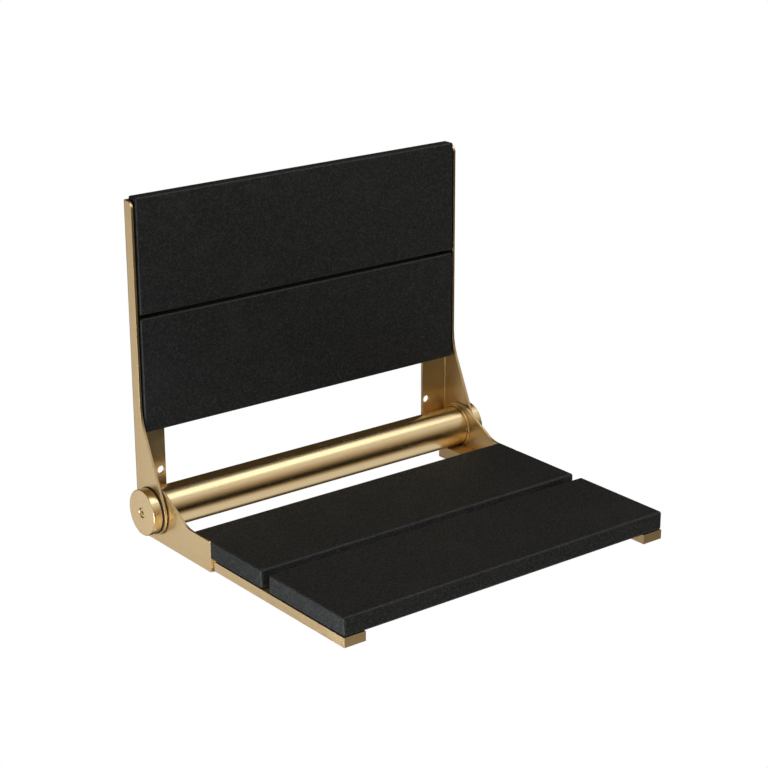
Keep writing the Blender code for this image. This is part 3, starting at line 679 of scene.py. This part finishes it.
def make_rounded_block(name):
    """A box whose edges and corners are all rounded to one radius.

    It starts as a cube of evenly spaced rows. The outer rows of each side fan out over the rounding.
    """
    sockets = {"Size": "vector", "Edge Radius": "value", "Edge Steps": "count"}
    tree, given, results = new_tree("GeometryNodeTree", name, sockets, {"Mesh": "geometry"})
    rows = calc(tree, "ADD", scaled(tree, given["Edge Steps"], 2.0), 2.0)
    inputs = {"Size": (2.0, 2.0, 2.0), "Vertices X": rows, "Vertices Y": rows, "Vertices Z": rows}
    cube = add_node(tree, "GeometryNodeMeshCube", inputs).outputs["Mesh"]
    position = tree.nodes.new("GeometryNodeInputPosition").outputs[0]
    size = vector_calc(tree, "ABSOLUTE", position)
    side = vector_calc(tree, "DIVIDE", position, size)
    gaps = calc(tree, "SUBTRACT", rows, 1.0)
    spread = vector_calc(tree, "MULTIPLY", size, gaps)
    past_middle = vector_calc(tree, "SUBTRACT", spread, (1.0, 1.0, 1.0))
    share = vector_calc(tree, "DIVIDE", past_middle, calc(tree, "SUBTRACT", rows, 2.0))
    fan = vector_calc(tree, "MULTIPLY", share, (math.pi / 4,) * 3)
    outward = vector_calc(tree, "NORMALIZE", vector_calc(tree, "TANGENT", fan))
    rounded = vector_calc(tree, "MULTIPLY", outward, given["Edge Radius"])
    half = vector_calc(tree, "MULTIPLY", given["Size"], (0.5, 0.5, 0.5))
    core = vector_calc(tree, "SUBTRACT", half, given["Edge Radius"])
    placed = vector_calc(tree, "MULTIPLY", vector_calc(tree, "ADD", core, rounded), side)
    inputs = {"Geometry": cube, "Position": placed}
    feed(tree, results["Mesh"], add_node(tree, "GeometryNodeSetPosition", inputs).outputs[0])
    return tree


def make_slat_row(name):
    """Rounded slats in a row, drilled for their screws, the first notched at both ends."""
    sockets = {
        "Geometry": "geometry",
        "Size": "vector",
        "Edge Radius": "value",
        "Edge Steps": "count",
        "First Middle": "vector",
        "Step": "vector",
        "Count": "count",
        "Hole Radius": "value",
        "Hole Depth": "value",
        "Hole Spread": "vector",
        "Hole Face": "value",
        "Hole Turn": "vector",
        "Notch Middle": "vector",
        "Notch Size": "vector",
        "Material": "material",
    }
    tree, given, results = new_tree("GeometryNodeTree", name, sockets, {"Geometry": "geometry"})
    inputs = {key: given[key] for key in ("Size", "Edge Radius", "Edge Steps")}
    block = use_group(tree, once("Rounded block", make_rounded_block), inputs)["Mesh"]
    across, between, _ = add_node(tree, "ShaderNodeSeparateXYZ", {0: given["Hole Spread"]}).outputs
    inputs = {"Size X": across, "Size Y": between, "Vertices X": 2, "Vertices Y": 2}
    corners = add_node(tree, "GeometryNodeMeshGrid", inputs).outputs["Mesh"]
    drill = prism(tree, DRILL_STEPS, given["Hole Radius"], given["Hole Depth"])
    drills = realized(tree, copies(tree, corners, drill))
    face = add_node(tree, "ShaderNodeCombineXYZ", {2: given["Hole Face"]}).outputs[0]
    holes = moved(tree, moved(tree, drills, face), turn=given["Hole Turn"])
    inputs = {
        "Count": given["Count"],
        "Start Location": given["First Middle"],
        "Offset": given["Step"],
    }
    line = add_node(tree, "GeometryNodeMeshLine", inputs).outputs["Mesh"]
    row = realized(tree, copies(tree, line, cut_from(tree, block, holes)))
    notch = add_node(tree, "GeometryNodeMeshCube", {"Size": given["Notch Size"]}).outputs["Mesh"]
    notches = []
    for way in (-1.0, 1.0):
        place = vector_calc(tree, "MULTIPLY", given["Notch Middle"], (way, 1.0, 1.0))
        notches.append(moved(tree, notch, place))
    inputs = {0: given["Notch Size"]}
    wide = add_node(tree, "ShaderNodeVectorMath", inputs, operation="LENGTH").outputs["Value"]
    has_notch = calc(tree, "GREATER_THAN", wide, 0.0)
    slats = choose(tree, has_notch, row, cut_from(tree, row, notches))
    normal = tree.nodes.new("GeometryNodeInputNormal").outputs[0]
    facing = vector_calc(tree, "ABSOLUTE", normal)
    x, y, z = add_node(tree, "ShaderNodeSeparateXYZ", {0: facing}).outputs
    squarest = calc(tree, "MAXIMUM", calc(tree, "MAXIMUM", x, y), z)
    is_edge = calc(tree, "LESS_THAN", squarest, LEAST_FLAT)
    inputs = {"Geometry": slats, "Name": EDGE, "Value": is_edge}
    settings = {"data_type": "FLOAT", "domain": "FACE"}
    marked = add_node(tree, "GeometryNodeStoreNamedAttribute", inputs, **settings).outputs[0]
    end_tree(tree, results, marked, given["Material"])
    return tree


# Making pieces ------------------------------------------------------------------------------------


def new_object(name, mesh):
    obj = bpy.data.objects.new(name, mesh)
    bpy.context.scene.collection.objects.link(obj)
    return obj


def made_plain(obj):
    """Swaps the object's mesh for what its modifiers make of it, and removes them."""
    bpy.context.view_layer.update()
    graph = bpy.context.evaluated_depsgraph_get()
    made = obj.evaluated_get(graph)
    settings = {"preserve_all_data_layers": True, "depsgraph": graph}
    mesh = bpy.data.meshes.new_from_object(made, **settings)
    obj.modifiers.clear()
    obj.data = mesh
    mesh.name = obj.name
    return obj


def shade(obj):
    """Smooth shading that keeps flat faces flat and creases sharp."""
    obj.data.shade_smooth()
    obj.data.set_sharp_from_angle(angle=SHARP)
    weighted = obj.modifiers.new("Flat faces stay flat", "WEIGHTED_NORMAL")
    weighted.keep_sharp = True
    weighted.mode = "FACE_AREA"
    return made_plain(obj)


def grow(obj, tree, values):
    """Runs a Geometry Nodes tree on the object with these inputs, and keeps the plain mesh."""
    modifier = obj.modifiers.new(tree.name, "NODES")
    modifier.node_group = tree
    identifiers = {
        item.name: item.identifier
        for item in tree.interface.items_tree
        if item.item_type == "SOCKET" and item.in_out == "INPUT"
    }
    for name, value in values.items():
        modifier[identifiers[name]] = value
    made_plain(obj)
    return shade(obj)


def polyline(name, points, closed=False):
    """A mesh of points joined in a line. A point may leave out its third number."""
    mesh = bpy.data.meshes.new(name)
    full = [(*point, 0.0)[:3] for point in points]
    if closed:
        full.append(full[0])
    mesh.from_pydata(full, [(i, i + 1) for i in range(len(full) - 1)], [])
    return new_object(name, mesh)


def soften(outline, radius, steps=4):
    """Rounds every corner of a closed outline with an arc that touches both sides."""
    soft = []
    for i, point in enumerate(outline):
        here = Vector(point)
        back = Vector(outline[i - 1]) - here
        onward = Vector(outline[(i + 1) % len(outline)]) - here
        half = back.angle(onward) / 2
        reach = min(radius / math.tan(half), 0.45 * back.length, 0.45 * onward.length)
        true_radius = reach * math.tan(half)
        inward = (back.normalized() + onward.normalized()).normalized()
        middle = here + inward * true_radius / math.sin(half)
        start = here + back.normalized() * reach - middle
        end = here + onward.normalized() * reach - middle
        turn = math.remainder(math.atan2(end.y, end.x) - math.atan2(start.y, start.x), math.tau)
        for step in range(steps + 1):
            spin = Matrix.Rotation(turn * step / steps, 2)
            soft.append(tuple(middle + spin @ start))
    return soft


def ring_profile(inner, outer, width, edge):
    """Section of a ring, height 0 at its outer face."""
    return soften([(inner, -width), (outer, -width), (outer, 0.0), (inner, 0.0)], edge)


def thread_rows(bottom, top, radius, pitch):
    """Rows close enough together to carry the thread."""
    rows = math.ceil((top - bottom) / (pitch / 6))
    return [(radius, bottom + (top - bottom) * row / rows, 1.0) for row in range(rows + 1)]


def turned_values(shape, material, **changes):
    values = {
        "Steps": shape.turned_steps,
        "Thread Pitch": shape.thread_pitch,
        "Thread Depth": 0.0,
        "Socket Radius": MM,
        "Socket Depth": 0.0,
        "Material": material,
    }
    values.update(changes)
    return values


def hinge_place(face):
    """Puts a turned piece on the hinge axis, its outer face this far from the middle."""
    return {"Outer Face": face, "Hinge": (0.0, HINGE.y, HINGE.z)}


def add_turned_pair(name, profile, face, shape, material, closed=True, **changes):
    """One piece at each end of the hinge, as one mesh."""
    obj = polyline(name, profile, closed)
    values = turned_values(shape, material, **hinge_place(face), **changes)
    return grow(obj, once("Turned pair", make_turned_pair), values)


def both_sides(node):
    return [f"{node}_{side}" for side in SIDES]


def seat_piece(obj, body, slot, *nodes):
    """Hangs the piece on the body that it rides on, and hides the frame's nodes that it stands for."""
    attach(obj, body)
    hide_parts(*nodes)


def add_plate(name, node, edge, material):
    """A piece cut from plate or box section: the frame's own shape with its edges broken."""
    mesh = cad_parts[node].data.copy()
    bm = bmesh.new()
    bm.from_mesh(mesh)
    bmesh.ops.remove_doubles(bm, verts=bm.verts, dist=WELD)
    bmesh.ops.dissolve_limit(bm, angle_limit=FLAT, verts=bm.verts, edges=bm.edges)
    bmesh.ops.recalc_face_normals(bm, faces=bm.faces)
    for face in bm.faces:
        face.material_index = 0
    bm.to_mesh(mesh)
    bm.free()
    obj = new_object(name, mesh)
    mesh.materials.clear()
    mesh.materials.append(material)
    mesh.materials.append(material)
    bevel = obj.modifiers.new("Broken edges", "BEVEL")
    bevel.width = edge
    bevel.segments = 2
    bevel.limit_method = "ANGLE"
    bevel.angle_limit = SHARP
    bevel.material = 1
    made_plain(obj)
    mark_edges(obj.data)
    return shade(obj)


def mark_edges(mesh):
    """Turns the second material, which the bevel gave its own faces, into the edge attribute."""
    edge = mesh.attributes.new(EDGE, "FLOAT", "FACE")
    edge.data.foreach_set("value", [float(face.material_index) for face in mesh.polygons])
    for face in mesh.polygons:
        face.material_index = 0
    mesh.materials.pop(index=1)


# Operators ----------------------------------------------------------------------------------------


def add_plates(settings, kind, node, along, body):
    """The left and right plates of one kind, with the axis of their brush lines."""
    finish = settings.finish
    look = gold(f"brushed_gold_{node.split('_')[-1]}", along, finish.plate_roughness, finish)
    for side in SIDES:
        plate = add_plate(f"{kind}_{side}", f"{node}_{side}", settings.shape.plate_edge, look)
        seat_piece(plate, body, "brushed_gold", f"{node}_{side}")


class SHOWERSEAT_OT_uprights(Operator):
    """Builds the two bent uprights that screw to the wall"""

    bl_idname = "shower_seat.uprights"
    bl_label = "Uprights"

    def execute(self, context):
        add_plates(context.scene.shower_seat, "bent_upright", "upright", 2, "wall_frame")
        return {"FINISHED"}


class SHOWERSEAT_OT_arms(Operator):
    """Builds the two seat arms that turn on the hinge"""

    bl_idname = "shower_seat.arms"
    bl_label = "Seat arms"

    def execute(self, context):
        add_plates(context.scene.shower_seat, "flat_arm", "seat_arm", 1, "seat")
        return {"FINISHED"}


class SHOWERSEAT_OT_rails(Operator):
    """Builds the two channel rails under the seat slats"""

    bl_idname = "shower_seat.rails"
    bl_label = "Seat rails"

    def execute(self, context):
        add_plates(context.scene.shower_seat, "channel_rail", "seat_rail", 1, "seat")
        return {"FINISHED"}


def slat_values(settings, nodes, screws, face_axis, turn, edge):
    """Inputs of the slat row: the slats' places from their nodes, the holes' from the screws'.

    Turning the holes takes them from the top of the slat to the face that its screws enter.
    """
    first, second = (centre_of(node) for node in nodes)
    step = second - first
    size = size_of(nodes[0])
    low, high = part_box(nodes[0])
    near = [centre_of(name) for name in screws]
    row = max(range(3), key=lambda axis: abs(step[axis]))
    ends = sorted(place.x for place in near)
    beside = sorted(place[row] for place in near if low[row] < place[row] < high[row])
    return {
        "Size": tuple(size),
        "Edge Radius": edge,
        "Edge Steps": settings.shape.slat_edge_steps,
        "First Middle": tuple(first),
        "Step": tuple(step),
        "Count": len(nodes),
        "Hole Radius": settings.shape.slat_screw_radius + FIT_GAP,
        "Hole Depth": screw_reach(screws[0], nodes[0], face_axis),
        "Hole Spread": (ends[-1] - ends[0], beside[-1] - beside[0], 0.0),
        "Hole Face": size[face_axis] / 2,
        "Hole Turn": turn,
        "Notch Middle": (0.0, 0.0, 0.0),
        "Notch Size": (0.0, 0.0, 0.0),
        "Material": black_slat(settings.finish),
    }


def screw_reach(screw, slat, axis):
    """How deep the hole is: the stretch of the screw that is inside the slat, and a little more."""
    low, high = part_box(screw)
    slat_low, slat_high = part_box(slat)
    inside = min(high[axis], slat_high[axis]) - max(low[axis], slat_low[axis])
    return inside + FIT_GAP


def add_slats(name, body, nodes, values):
    slats = new_object(name, bpy.data.meshes.new(name))
    grow(slats, once("Slat row", make_slat_row), values)
    seat_piece(slats, body, "black_slat", *nodes)


class SHOWERSEAT_OT_back_slats(Operator):
    """Builds the two slats of the backrest"""

    bl_idname = "shower_seat.back_slats"
    bl_label = "Back slats"

    def execute(self, context):
        settings = context.scene.shower_seat
        nodes = ("back_slat_lower", "back_slat_upper")
        screws = matching("back_slat_screw")
        edge = settings.shape.back_slat_edge
        values = slat_values(settings, nodes, screws, 1, (-QUARTER, 0.0, 0.0), edge)
        add_slats("backrest_slats", "wall_frame", nodes, values)
        return {"FINISHED"}


class SHOWERSEAT_OT_seat_slats(Operator):
    """Builds the two slats of the seat, the rear one notched for the arms"""

    bl_idname = "shower_seat.seat_slats"
    bl_label = "Seat slats"

    def execute(self, context):
        settings = context.scene.shower_seat
        nodes = ("seat_slat_rear", "seat_slat_front")
        screws = matching("seat_slat_screw")
        edge = settings.shape.slat_edge
        values = slat_values(settings, nodes, screws, 2, (math.pi, 0.0, 0.0), edge)
        arm_low, arm_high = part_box("seat_arm_right")
        slat_low, slat_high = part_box("seat_slat_rear")
        gap = settings.shape.arm_notch_gap
        low = Vector((arm_low.x - gap, arm_low.y - gap, slat_low.z - gap))
        high = Vector((arm_high.x + gap, slat_high.y + gap, slat_high.z + gap))
        values["Notch Middle"] = tuple((low + high) / 2)
        values["Notch Size"] = tuple(high - low)
        add_slats("seat_slats", "seat", nodes, values)
        return {"FINISHED"}


class SHOWERSEAT_OT_hinge_tube(Operator):
    """Builds the hinge tube, its collars, its end plugs and the bushes in them"""

    bl_idname = "shower_seat.hinge_tube"
    bl_label = "Hinge tube"

    def execute(self, context):
        settings = context.scene.shower_seat
        shape, finish = settings.shape, settings.finish
        look = gold("brushed_gold_tube", 0, finish.tube_roughness, finish, bump=0.03)
        self.add_tube(shape, look)
        tube = outer_radius("hinge_tube")
        self.add_rings(shape, "weld_collars", "tube_collar", tube, look, "brushed_gold")
        steel = stainless(finish, "stainless_plug", 0.3)
        bush = outer_radius("pivot_bush_right")
        self.add_rings(shape, "end_plugs", "tube_plug", bush, steel, "stainless_turned")
        nylon = black_nylon(finish)
        pin = outer_radius("pivot_pin_right")
        self.add_rings(shape, "flanged_bushes", "pivot_bush", pin, nylon, "black_nylon")
        return {"FINISHED"}

    def add_tube(self, shape, look):
        radius, width = outer_radius("hinge_tube"), size_of("hinge_tube").x
        profile = ring_profile(radius - shape.tube_wall, radius, width, shape.ring_edge)
        tube = polyline("cross_tube", profile, closed=True)
        values = turned_values(shape, look, **hinge_place(outer_face("hinge_tube")))
        grow(tube, once("Turned line", make_turned_line), values)
        seat_piece(tube, "seat", "brushed_gold", "hinge_tube")

    def add_rings(self, shape, name, node, inside, look, slot):
        """A ring at each end, bored to clear the radius of what is inside it."""
        right = f"{node}_right"
        inner, outer = inside + FIT_GAP, outer_radius(right)
        profile = ring_profile(inner, outer, size_of(right).x, shape.ring_edge)
        rings = add_turned_pair(name, profile, outer_face(right), shape, look)
        seat_piece(rings, "seat", slot, *both_sides(node))


class SHOWERSEAT_OT_washers(Operator):
    """Builds the thin nylon washers on either side of each upright"""

    bl_idname = "shower_seat.washers"
    bl_label = "Washers"

    def execute(self, context):
        settings = context.scene.shower_seat
        look = black_nylon(settings.finish)
        inner = outer_radius("pivot_pin_right") + FIT_GAP
        edge = settings.shape.ring_edge / 2
        for name, body in (("inner_washer", "seat"), ("outer_washer", "wall_frame")):
            right = f"{name}_right"
            profile = ring_profile(inner, outer_radius(right), size_of(right).x, edge)
            rings = add_turned_pair(f"{name}s", profile, outer_face(right), settings.shape, look)
            seat_piece(rings, body, "black_nylon", *both_sides(name))
        return {"FINISHED"}


class SHOWERSEAT_OT_end_knobs(Operator):
    """Builds the round knobs that close the ends of the hinge"""

    bl_idname = "shower_seat.end_knobs"
    bl_label = "End knobs"

    def execute(self, context):
        settings = context.scene.shower_seat
        shape, finish = settings.shape, settings.finish
        radius, length = outer_radius("end_knob_right"), size_of("end_knob_right").x
        face = outer_face("end_knob_right")
        bore = shape.knob_screw_radius + FIT_GAP
        recess = outer_radius("knob_screw_right") + 2 * FIT_GAP
        inset = face - outer_face("knob_screw_right")
        floor = -(inset + shape.knob_screw_head + FIT_GAP)
        block = [(0.0, -length), (radius, -length), (radius, 0.0), (0.0, 0.0)]
        rim = [point for point in soften(block, shape.knob_edge) if point[0] > recess]
        mouth = 0.5 * shape.knob_edge
        inside = [(recess + mouth, 0.0), (recess, -mouth), (recess, floor), (bore, floor)]
        profile = [*rim, *inside, (bore, -length)]
        look = gold("satin_gold_knob", 0, finish.tube_roughness + 0.02, finish, bump=0.03)
        knobs = add_turned_pair("round_end_knobs", profile, face, shape, look)
        seat_piece(knobs, "wall_frame", "brushed_gold", *both_sides("end_knob"))
        return {"FINISHED"}


class SHOWERSEAT_OT_knob_screws(Operator):
    """Builds the socket-head screws that hold the knobs, and the pivot pins that they enter"""

    bl_idname = "shower_seat.knob_screws"
    bl_label = "Knob screws and pins"

    def execute(self, context):
        settings = context.scene.shower_seat
        shape, finish = settings.shape, settings.finish
        self.add_screws(shape, gold("satin_gold_screw", 0, finish.tube_roughness, finish))
        self.add_pins(shape, stainless(finish, "stainless_turned", 0.22))
        return {"FINISHED"}

    def add_screws(self, shape, look):
        length = size_of("knob_screw_right").x
        head, shank = outer_radius("knob_screw_right"), shape.knob_screw_radius
        under = -shape.knob_screw_head
        chamfer = 0.4 * MM
        profile = [(0.0, -length), (shank - shape.thread_depth, -length)]
        profile += thread_rows(chamfer - length, under - chamfer, shank, shape.thread_pitch)
        profile += [(shank, under), (head, under), (head, -chamfer)]
        profile += [(head - chamfer, 0.0), (0.0, 0.0)]
        changes = {
            "Socket Radius": shape.knob_screw_socket,
            "Socket Depth": shape.knob_screw_socket,
            "Thread Depth": shape.thread_depth,
            "Steps": 2 * shape.screw_steps,
        }
        face = outer_face("knob_screw_right")
        screws = add_turned_pair("socket_head_screws", profile, face, shape, look, False, **changes)
        seat_piece(screws, "wall_frame", "brushed_gold", *both_sides("knob_screw"))

    def add_pins(self, shape, look):
        radius, length = outer_radius("pivot_pin_right"), size_of("pivot_pin_right").x
        face = outer_face("pivot_pin_right")
        bore = shape.knob_screw_radius + FIT_GAP
        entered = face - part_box("knob_screw_right")[0].x
        depth = entered + radius / 5
        chamfer = radius / 20
        profile = [(0.0, -length), (radius - chamfer, -length), (radius, chamfer - length)]
        profile += [(radius, -chamfer), (radius - chamfer, 0.0)]
        profile += [(bore, 0.0), (bore, -depth), (0.0, -depth)]
        pins = add_turned_pair("pivot_pins", profile, face, shape, look, False)
        seat_piece(pins, "wall_frame", "stainless_turned", *both_sides("pivot_pin"))


# Sections of a screw's head above its underside, as shares of the head's radius and height.
PAN_HEAD = ((1.0, -1.0), (1.0, -0.7), (0.93, -0.35), (0.8, -0.12), (0.6, 0.0), (0.0, 0.0))
FLAT_HEAD = ((1.0, -0.1), (1.0, 0.0), (0.0, 0.0))


class SHOWERSEAT_OT_slat_screws(Operator):
    """Builds the screws that hold the slats: pan heads under the seat, flat heads behind the back"""

    bl_idname = "shower_seat.slat_screws"
    bl_label = "Slat screws"

    def execute(self, context):
        settings = context.scene.shower_seat
        seat = matching("seat_slat_screw")
        turn = (math.pi, 0.0, 0.0)
        screws = self.add_screws(settings, "seat_slat_screws", seat, 2, 0, PAN_HEAD, turn)
        seat_piece(screws, "seat", "stainless_screw", *seat)
        back = matching("back_slat_screw")
        turn = (-QUARTER, 0.0, 0.0)
        screws = self.add_screws(settings, "backrest_screws", back, 1, 1, FLAT_HEAD, turn)
        seat_piece(screws, "wall_frame", "stainless_screw", *back)
        return {"FINISHED"}

    def add_screws(self, settings, name, nodes, axis, end, section, turn):
        """Screws along an axis. Their heads are at the nodes' low end, 0, or at the high end, 1."""
        shape = settings.shape
        shank, head = shape.slat_screw_radius, shape.slat_screw_head
        pitch = shape.thread_pitch
        radius, length = size_of(nodes[0]).x / 2, size_of(nodes[0])[axis]
        profile = [(0.0, -length), (shank - shape.thread_depth - 0.2 * MM, shank / 2 - length)]
        profile += thread_rows(shank - length, -head - pitch, shank, pitch)
        profile.append((shank, -head))
        profile += [(wide * radius, high * head) for wide, high in section]
        outline = polyline(f"{name}_profile", profile)
        changes = {
            "Profile": outline,
            "Turn": turn,
            "Steps": shape.screw_steps,
            "Thread Depth": shape.thread_depth,
            "Socket Radius": shape.slat_screw_socket,
            "Socket Depth": 0.7 * head,
        }
        look = stainless(settings.finish, "stainless_screw", 0.26)
        places = [centre_of(node) for node in nodes]
        for place, node in zip(places, nodes):
            place[axis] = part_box(node)[end][axis]
        mesh = bpy.data.meshes.new(name)
        mesh.from_pydata(places, [], [])
        values = turned_values(shape, look, **changes)
        screws = grow(new_object(name, mesh), once("Screw set", make_screw_set), values)
        bpy.data.objects.remove(outline, do_unlink=True)
        return screws


# Studio -------------------------------------------------------------------------------------------

# Where each softbox stands, what it points at, and its width and height.
SOFTBOXES = {
    "top": ((0.3, -0.62, 1.3), (0.1, -0.18, 0.0), (1.8, 0.62)),
    "side": ((-0.87, 0.50, -0.05), (-0.24, -0.08, 0.12), (0.75, 0.9)),
    "front": ((-0.75, -0.30, -0.15), (-0.23, -0.25, 0.0), (0.5, 0.3)),
}
WHITE = (1.0, 1.0, 1.0, 1.0)
FLOOR_REACH = 30.0
FLOOR_TONES = ((0.86, 0.86, 0.86), (0.9, 0.9, 0.9))
# What lies in front and to the right, by height: (height from -1 below to 1 above, brightness).
FRONT_LEVELS = (
    (-1.0, 0.85),
    (-0.62, 0.75),
    (-0.46, 0.30),
    (-0.36, 0.03),
    (-0.02, 0.02),
    (0.12, 0.26),
    (0.38, 0.55),
    (0.58, 0.80),
    (0.80, 0.80),
    (1.0, 0.20),
)
LEFT_LEVEL = 0.10  # brightness behind on the left
WARM = (1.0, 0.68, 0.30)  # tint of the darkest parts
NEUTRAL = (1.0, 0.99, 0.97)  # tint of the brightest
# Parts of the direction, -1 to 1, between which one part of the surroundings passes into another.
BEHIND = (-0.05, 0.30)
OVERHEAD = (0.75, 0.95)
LEFT = (-0.20, -0.50)
LEFT_BEHIND = (-0.35, 0.25)
DARK_TO_BRIGHT = (0.05, 0.75)  # brightness over which the tint passes from WARM to NEUTRAL


def white_when_seen(tree, lit, white):
    """What the camera sees is plain white, whatever else is lit by the first shader."""
    seen = tree.nodes.new("ShaderNodeLightPath").outputs["Is Camera Ray"]
    return add_node(tree, "ShaderNodeMixShader", {0: seen, 1: lit, 2: white}).outputs[0]


class SHOWERSEAT_OT_stage(Operator):
    """Sets up the camera, the pale floor and the studio light"""

    bl_idname = "shower_seat.stage"
    bl_label = "Studio"

    def execute(self, context):
        studio = context.scene.shower_seat.studio
        self.add_camera(context.scene, studio)
        self.add_floor(studio)
        for name, (place, target, size) in SOFTBOXES.items():
            power = getattr(studio, f"{name}_light")
            self.add_light(f"{name}_softbox", place, target, size, power)
        self.add_world(context.scene)
        context.scene.view_settings.view_transform = "Standard"
        return {"FINISHED"}

    def add_camera(self, scene, studio):
        data = bpy.data.cameras.new("camera")
        data.lens = studio.lens
        data.sensor_width = 36.0
        camera = new_object("camera", data)
        heading = Matrix.Rotation(-studio.camera_heading, 4, "Z")
        tilt = Matrix.Rotation(QUARTER - studio.camera_tilt, 4, "X")
        roll = Matrix.Rotation(studio.camera_roll, 4, "Z")
        camera.matrix_world = Matrix.Translation(studio.camera_place) @ heading @ tilt @ roll
        scene.camera = camera

    def add_floor(self, studio):
        mesh = bpy.data.meshes.new("studio_floor")
        bm = bmesh.new()
        bmesh.ops.create_grid(bm, x_segments=4, y_segments=4, size=FLOOR_REACH)
        bmesh.ops.translate(bm, vec=(0.0, 0.0, -studio.floor_drop), verts=bm.verts)
        bm.to_mesh(mesh)
        bm.free()
        floor = new_object("studio_floor", mesh)
        floor.visible_glossy = False
        material, tree, shader, place = new_material("pale_floor")
        cloud = noise(tree, place, 3.0, 4.0)
        darker, paler = FLOOR_TONES
        feed(tree, shader.inputs["Base Color"], blend(tree, cloud, rgb(darker), rgb(paler)))
        shader.inputs["Roughness"].default_value = 0.8
        glow = add_node(tree, "ShaderNodeEmission", {"Color": WHITE, "Strength": 1.0}).outputs[0]
        surface = white_when_seen(tree, shader.outputs[0], glow)
        tree.links.new(surface, tree.nodes["Material Output"].inputs["Surface"])
        mesh.materials.append(material)

    def add_light(self, name, place, target, size, power):
        data = bpy.data.lights.new(name, "AREA")
        data.shape = "RECTANGLE"
        data.size, data.size_y = size
        data.energy = power
        light = new_object(name, data)
        away = Vector(place) - Vector(target)
        facing = away.to_track_quat("Z", "Y").to_matrix().to_4x4()
        light.matrix_world = Matrix.Translation(place) @ facing

    def add_world(self, scene):
        """What the gold mirrors: bands of light in front and on the right, dark behind."""
        world = bpy.data.worlds.new("studio")
        world.use_nodes = True
        tree = world.node_tree
        tree.nodes.clear()
        way = tree.nodes.new("ShaderNodeTexCoord").outputs["Generated"]
        across, along, up = add_node(tree, "ShaderNodeSeparateXYZ", {0: way}).outputs
        front = add_node(tree, "ShaderNodeValToRGB", {0: spread_out(tree, up, -1.0, 1.0)})
        fill_ramp(front.color_ramp, FRONT_LEVELS)
        behind = spread_out(tree, along, *BEHIND, smooth=True)
        far = spread_out(tree, up, *OVERHEAD, to_low=0.05, to_high=0.6)
        level = blend(tree, behind, front.outputs[0], far)
        leftward = spread_out(tree, across, *LEFT, smooth=True)
        left_behind = spread_out(tree, along, *LEFT_BEHIND, smooth=True, to_low=0.10)
        left = calc(tree, "MULTIPLY", leftward, left_behind)
        level = blend(tree, left, level, rgb((LEFT_LEVEL,) * 3))
        brightness = spread_out(tree, level, *DARK_TO_BRIGHT)
        tint = blend(tree, brightness, rgb(WARM), rgb(NEUTRAL))
        shaded = blend(tree, 1.0, level, tint, "MULTIPLY")
        lit, white = (
            add_node(tree, "ShaderNodeBackground", {"Color": colour, "Strength": 1.0}).outputs[0]
            for colour in (shaded, WHITE)
        )
        add_node(tree, "ShaderNodeOutputWorld", {"Surface": white_when_seen(tree, lit, white)})
        scene.world = world


BUILD_ORDER = (
    SHOWERSEAT_OT_stage,
    SHOWERSEAT_OT_uprights,
    SHOWERSEAT_OT_back_slats,
    SHOWERSEAT_OT_arms,
    SHOWERSEAT_OT_rails,
    SHOWERSEAT_OT_seat_slats,
    SHOWERSEAT_OT_hinge_tube,
    SHOWERSEAT_OT_washers,
    SHOWERSEAT_OT_end_knobs,
    SHOWERSEAT_OT_knob_screws,
    SHOWERSEAT_OT_slat_screws,
)


class SHOWERSEAT_PT_build(Panel):
    """Lists the settings and the operators in build order"""

    bl_idname = "SHOWERSEAT_PT_build"
    bl_label = "Fold-down Shower Seat"
    bl_space_type = "VIEW_3D"
    bl_region_type = "UI"
    bl_category = "Shower Seat"

    def draw(self, context):
        settings = context.scene.shower_seat
        for title in ("Finish", "Shape", "Studio"):
            group = getattr(settings, title.lower())
            box = self.layout.box()
            box.label(text=title)
            for name in group.bl_rna.properties.keys():
                if name not in ("rna_type", "name"):
                    box.prop(group, name)
        column = self.layout.column(align=True)
        for operator in BUILD_ORDER:
            column.operator(operator.bl_idname)


CLASSES = (
    SHOWERSEAT_PG_finish,
    SHOWERSEAT_PG_shape,
    SHOWERSEAT_PG_studio,
    SHOWERSEAT_PG_settings,
    *BUILD_ORDER,
    SHOWERSEAT_PT_build,
)


def register():
    for cls in CLASSES:
        bpy.utils.register_class(cls)
    bpy.types.Scene.shower_seat = PointerProperty(type=SHOWERSEAT_PG_settings)


def unregister():
    del bpy.types.Scene.shower_seat
    for cls in reversed(CLASSES):
        bpy.utils.unregister_class(cls)


def main():
    register()
    for operator in BUILD_ORDER:
        group, name = operator.bl_idname.split(".")
        getattr(getattr(bpy.ops, group), name)()


if __name__ == "__main__":
    main()
